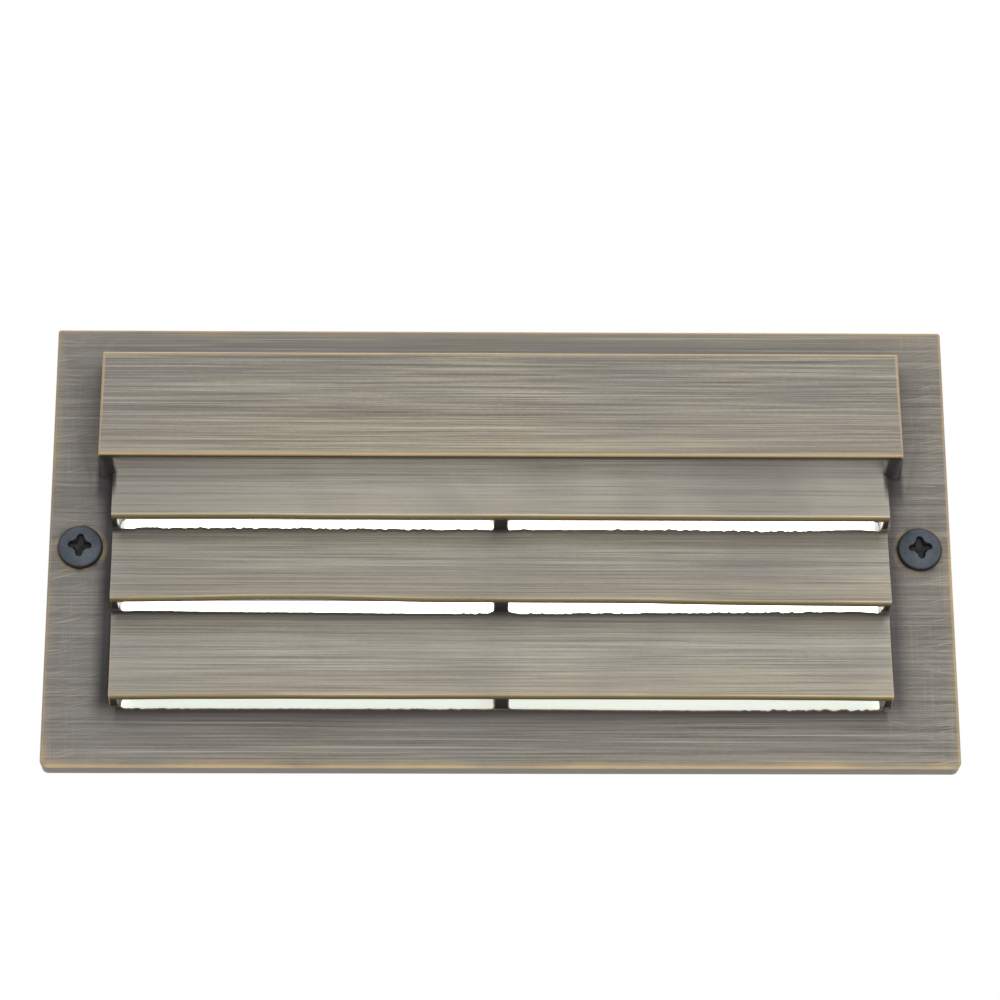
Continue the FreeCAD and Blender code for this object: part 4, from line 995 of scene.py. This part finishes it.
def recess_depth(across, up, sizes):
    """Depth of the cross recess under a point of the head, with rounded wings and sloping walls."""
    far, near = max(abs(across), abs(up)), min(abs(across), abs(up))
    half = sizes.wing_half * (1.12 - 0.34 * far / sizes.recess_reach)
    to_wing = math.hypot(max(far - sizes.recess_reach + half, 0.0), near) - half
    reach = half + RECESS_FILLET
    round_corner = math.hypot(max(reach - near, 0.0), max(reach - far, 0.0))
    inner = RECESS_FILLET - round_corner if near < reach and far < reach else 1.0
    edge = min(to_wing, inner) if near > half else to_wing
    share = min(1.0, max(0.0, -edge / RECESS_WALL))
    smooth = share * share * (3 - 2 * share)
    floor = sizes.recess_depth * (1 - 0.42 * far / sizes.recess_reach)
    return smooth * floor


def dome_height(radius, sizes):
    """Height of the head over the plate at a radius: a spherical top over a rounded shoulder."""
    rise = sizes.head_height - sizes.side_height
    ball = (sizes.head_radius ** 2 + rise ** 2) / (2 * rise)
    top = sizes.head_height - ball + math.sqrt(ball * ball - radius * radius)
    shoulder = max(0.0, radius / sizes.head_radius - RIM_START) / (1 - RIM_START)
    return top - RIM_DROP * (1 - math.sqrt(max(0.0, 1 - shoulder * shoulder)))


def screw_mesh(sizes, centre, turn, end):
    """Head with its recess, then the threaded shank to the depth end."""
    def ring(radius, depth):
        points = []
        for step in range(STEPS_IN_HEAD):
            angle = math.tau * step / STEPS_IN_HEAD
            r = radius(angle) if callable(radius) else radius
            across, up = r * math.cos(angle), r * math.sin(angle)
            y = depth(across, up) if callable(depth) else depth
            points.append((centre.x + across, y, centre.y + up))
        return points

    def face(across, up):
        x = across * math.cos(turn) + up * math.sin(turn)
        z = up * math.cos(turn) - across * math.sin(turn)
        radius = math.hypot(across, up)
        return FRONT - dome_height(radius, sizes) + recess_depth(x, z, sizes)

    rings = [ring(sizes.head_radius * level / RINGS_IN_HEAD, face)
             for level in range(1, RINGS_IN_HEAD + 1)]
    rings.append(ring(sizes.head_radius, FRONT - 0.25 * MM))
    rings.append(ring(sizes.head_radius - 0.2 * MM, FRONT - 0.02 * MM))
    root = sizes.shank_radius - sizes.thread_depth
    rings.append(ring(root, FRONT - 0.02 * MM))
    spacing = sizes.thread_pitch / STEPS_PER_PITCH
    levels = int((end - FRONT) / spacing)
    for level in range(1, levels + 1):
        depth = FRONT + level * spacing
        fade = min(1.0, (levels - level) / (1.5 * STEPS_PER_PITCH), level / STEPS_PER_PITCH)

        def thread(angle, level=level, fade=fade):
            phase = (level / STEPS_PER_PITCH - angle / math.tau) % 1.0
            return root + fade * sizes.thread_depth * (1 - abs(2 * phase - 1))

        rings.append(ring(thread, depth))
    return lathe(rings)


class STEPLIGHT_OT_face_screws(Operator):
    """Make the two domed, cross-recessed screws, each turned a little differently"""
    bl_idname = "steplight.face_screws"
    bl_label = "Face screws"

    def execute(self, context):
        sizes = context.scene.steplight_screw
        finish = black_oxide_finish(sizes)
        shank_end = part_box("face_screws")[1].y - 0.1 * MM
        for side, name in ((-1, "left"), (1, "right")):
            vertices, faces = screw_mesh(sizes, Vector((side * SCREW_X, SCREW_Z)),
                                         SCREW_TURNS[name], shank_end)
            piece = new_piece(f"face_screw_{name}", vertices, faces, math.radians(50))
            hand_over(piece, "black_oxide", finish, "face_screws")
        return {"FINISHED"}


# ---------------------------------------------------------------- lens, seals and housing

class STEPLIGHT_OT_lens(Operator):
    """Give the frosted lens its light and the seals their rubber"""
    bl_idname = "steplight.lens"
    bl_label = "Lens and seals"

    def execute(self, context):
        dress(lit_glass_finish(context.scene.steplight_glow), "lens")
        dress(silicone_finish(), "lens_seal")
        dress(gasket_finish(), "face_gasket", "lead_grommet")
        return {"FINISHED"}


class STEPLIGHT_OT_housing(Operator):
    """Paint the housing and its plug, and give the screw inserts their brass"""
    bl_idname = "steplight.housing"
    bl_label = "Housing"

    def execute(self, context):
        dress(grey_casting_finish(), "housing", "entry_plug")
        dress(plain_brass_finish(), "screw_inserts")
        return {"FINISHED"}


class STEPLIGHT_OT_light_engine(Operator):
    """Give the reflector, heat spreader, lamp board and lamps their finishes"""
    bl_idname = "steplight.light_engine"
    bl_label = "Light engine"

    def execute(self, context):
        dress(white_enamel_finish(), "reflector")
        dress(mill_aluminium_finish(), "heat_spreader")
        dress(thermal_rubber_finish(), "thermal_pad")
        dress(white_board_finish(), "lamp_board")
        dress(lamp_resin_finish(), "lamps")
        dress(zinc_finish(), "board_screws", "spreader_screws", "driver_screws", "terminal_screws")
        return {"FINISHED"}


class STEPLIGHT_OT_wiring(Operator):
    """Give the driver, the terminal block and the earth screw their finishes"""
    bl_idname = "steplight.wiring"
    bl_label = "Driver and terminals"

    def execute(self, context):
        dress(black_plastic_finish(), "driver")
        dress(pale_plastic_finish(), "terminal_block")
        dress(green_steel_finish(), "ground_screw")
        return {"FINISHED"}


# ---------------------------------------------------------------- stage

FLOOR_HEIGHT = -0.80
FLOOR_HALF = 2.4
# each lamp: name, the setting of its power, side and place
LAMPS = (("key", "key", 1.0, (0.50, -1.32, 0.02)),
         ("lower", "lower", 0.5, (0.22, -1.02, -0.50)),
         ("upper", "upper", 0.9, (0.35, -0.85, 0.95)),
         ("back_left", "back", 0.9, (-0.75, 1.20, 0.45)),
         ("back_right", "back", 0.9, (1.00, 1.05, 0.10)),
         ("ceiling", "ceiling", 1.3, (0.0, 0.35, 1.45)))


def floor_finish():
    """Pale, faintly mottled paper."""
    material, tree, shader, where = new_material("floor_paper", Roughness=0.85)
    cloud = blotch(tree, where, Scale=3.0, Low=0.2, High=0.8)
    shade = tones(tree, cloud, [(0.0, srgb(246, 246, 245)), (1.0, srgb(252, 252, 251))])
    feed(tree, shader, Base_Color=shade)
    bump(tree, shader, cast_skin(tree, where, Grit=900.0, Dents=60.0), 0.2 * MM, 0.3)
    return material


def build_world(strength):
    """White to the camera and in reflections, softer as a lamp."""
    world = bpy.data.worlds.new("studio")
    bpy.context.scene.world = world
    world.use_nodes = True
    tree = world.node_tree
    tree.nodes.clear()
    path = node(tree, "ShaderNodeLightPath").outputs
    seen = most(tree, path["Is Camera Ray"], path["Is Transmission Ray"], path["Is Glossy Ray"])
    level = span(tree, seen, 0.0, 1.0, strength, 1.0)
    light = node(tree, "ShaderNodeBackground", {"Color": (1.0, 1.0, 1.0, 1.0), "Strength": level})
    result = node(tree, "ShaderNodeOutputWorld")
    feed(tree, result, Surface=light.outputs[0])


def add_lamp(name, watts, size, place):
    """A square area lamp aimed at the origin."""
    lamp = bpy.data.lights.new(name, "AREA")
    lamp.energy = watts
    lamp.size = size
    holder = bpy.data.objects.new(name, lamp)
    holder.location = place
    holder.rotation_euler = (Vector() - Vector(place)).to_track_quat("-Z", "Y").to_euler()
    bpy.context.scene.collection.objects.link(holder)


def add_camera(stage):
    """A camera turned right by yaw, up by pitch and then rolled."""
    yaw, pitch, roll = stage.yaw, stage.pitch, stage.roll
    ahead = Vector((math.sin(yaw) * math.cos(pitch), math.cos(yaw) * math.cos(pitch), math.sin(pitch)))
    level_right = Vector((math.cos(yaw), -math.sin(yaw), 0.0))
    level_up = level_right.cross(ahead)
    right = level_right * math.cos(roll) + level_up * math.sin(roll)
    above = level_up * math.cos(roll) - level_right * math.sin(roll)
    camera = bpy.data.cameras.new("camera")
    camera.sensor_width = 36.0
    camera.lens = stage.lens
    camera.clip_start = 0.01
    holder = bpy.data.objects.new("camera", camera)
    turn = Matrix((right, above, -ahead)).transposed()
    holder.matrix_world = Matrix.Translation(Vector(stage.place)) @ turn.to_4x4()
    bpy.context.scene.collection.objects.link(holder)
    bpy.context.scene.camera = holder


class STEPLIGHT_OT_stage(Operator):
    """Set up the pale floor, the studio light and the camera"""
    bl_idname = "steplight.stage"
    bl_label = "Stage"

    def execute(self, context):
        stage = context.scene.steplight_stage
        corners = [(sx * FLOOR_HALF, sy * FLOOR_HALF, FLOOR_HEIGHT)
                   for sx, sy in ((-1, -1), (1, -1), (1, 1), (-1, 1))]
        floor = new_piece("floor", corners, [(0, 1, 2, 3)])
        floor.data.materials.append(floor_finish())
        build_world(stage.ambient)
        for name, setting, size, place in LAMPS:
            add_lamp(name, getattr(stage, setting), size, place)
        add_camera(stage)
        context.scene.view_settings.view_transform = "Standard"
        return {"FINISHED"}


# ---------------------------------------------------------------- panel and registration

OPERATORS = (STEPLIGHT_OT_faceplate, STEPLIGHT_OT_face_screws, STEPLIGHT_OT_lens,
             STEPLIGHT_OT_housing, STEPLIGHT_OT_light_engine, STEPLIGHT_OT_wiring,
             STEPLIGHT_OT_stage)
SETTINGS = {"steplight_casting": StepLightCasting, "steplight_brass": StepLightBrass,
            "steplight_screw": StepLightScrew, "steplight_glow": StepLightGlow,
            "steplight_stage": StepLightStage}


class STEPLIGHT_PT_panel(Panel):
    """Lists the pieces of the step light and their settings"""
    bl_idname = "STEPLIGHT_PT_panel"
    bl_label = "Step light"
    bl_space_type = "VIEW_3D"
    bl_region_type = "UI"
    bl_category = "Step light"

    def draw(self, context):
        for operator in OPERATORS:
            self.layout.operator(operator.bl_idname)
        for name, group in SETTINGS.items():
            box = self.layout.box()
            for prop in group.__annotations__:
                box.prop(getattr(context.scene, name), prop)


def register():
    """Register the settings, the operators and the panel."""
    for group in SETTINGS.values():
        bpy.utils.register_class(group)
    for operator in OPERATORS:
        bpy.utils.register_class(operator)
    bpy.utils.register_class(STEPLIGHT_PT_panel)
    for name, group in SETTINGS.items():
        setattr(bpy.types.Scene, name, PointerProperty(type=group))


def unregister():
    """Take the settings, the operators and the panel out again."""
    for name in SETTINGS:
        delattr(bpy.types.Scene, name)
    bpy.utils.unregister_class(STEPLIGHT_PT_panel)
    for operator in reversed(OPERATORS):
        bpy.utils.unregister_class(operator)
    for group in reversed(SETTINGS.values()):
        bpy.utils.unregister_class(group)


def main():
    """Dress the frame."""
    register()
    bpy.ops.steplight.stage()
    bpy.ops.steplight.faceplate()
    bpy.ops.steplight.face_screws()
    bpy.ops.steplight.lens()
    bpy.ops.steplight.housing()
    bpy.ops.steplight.light_engine()
    bpy.ops.steplight.wiring()


if __name__ == "__main__":
    main()
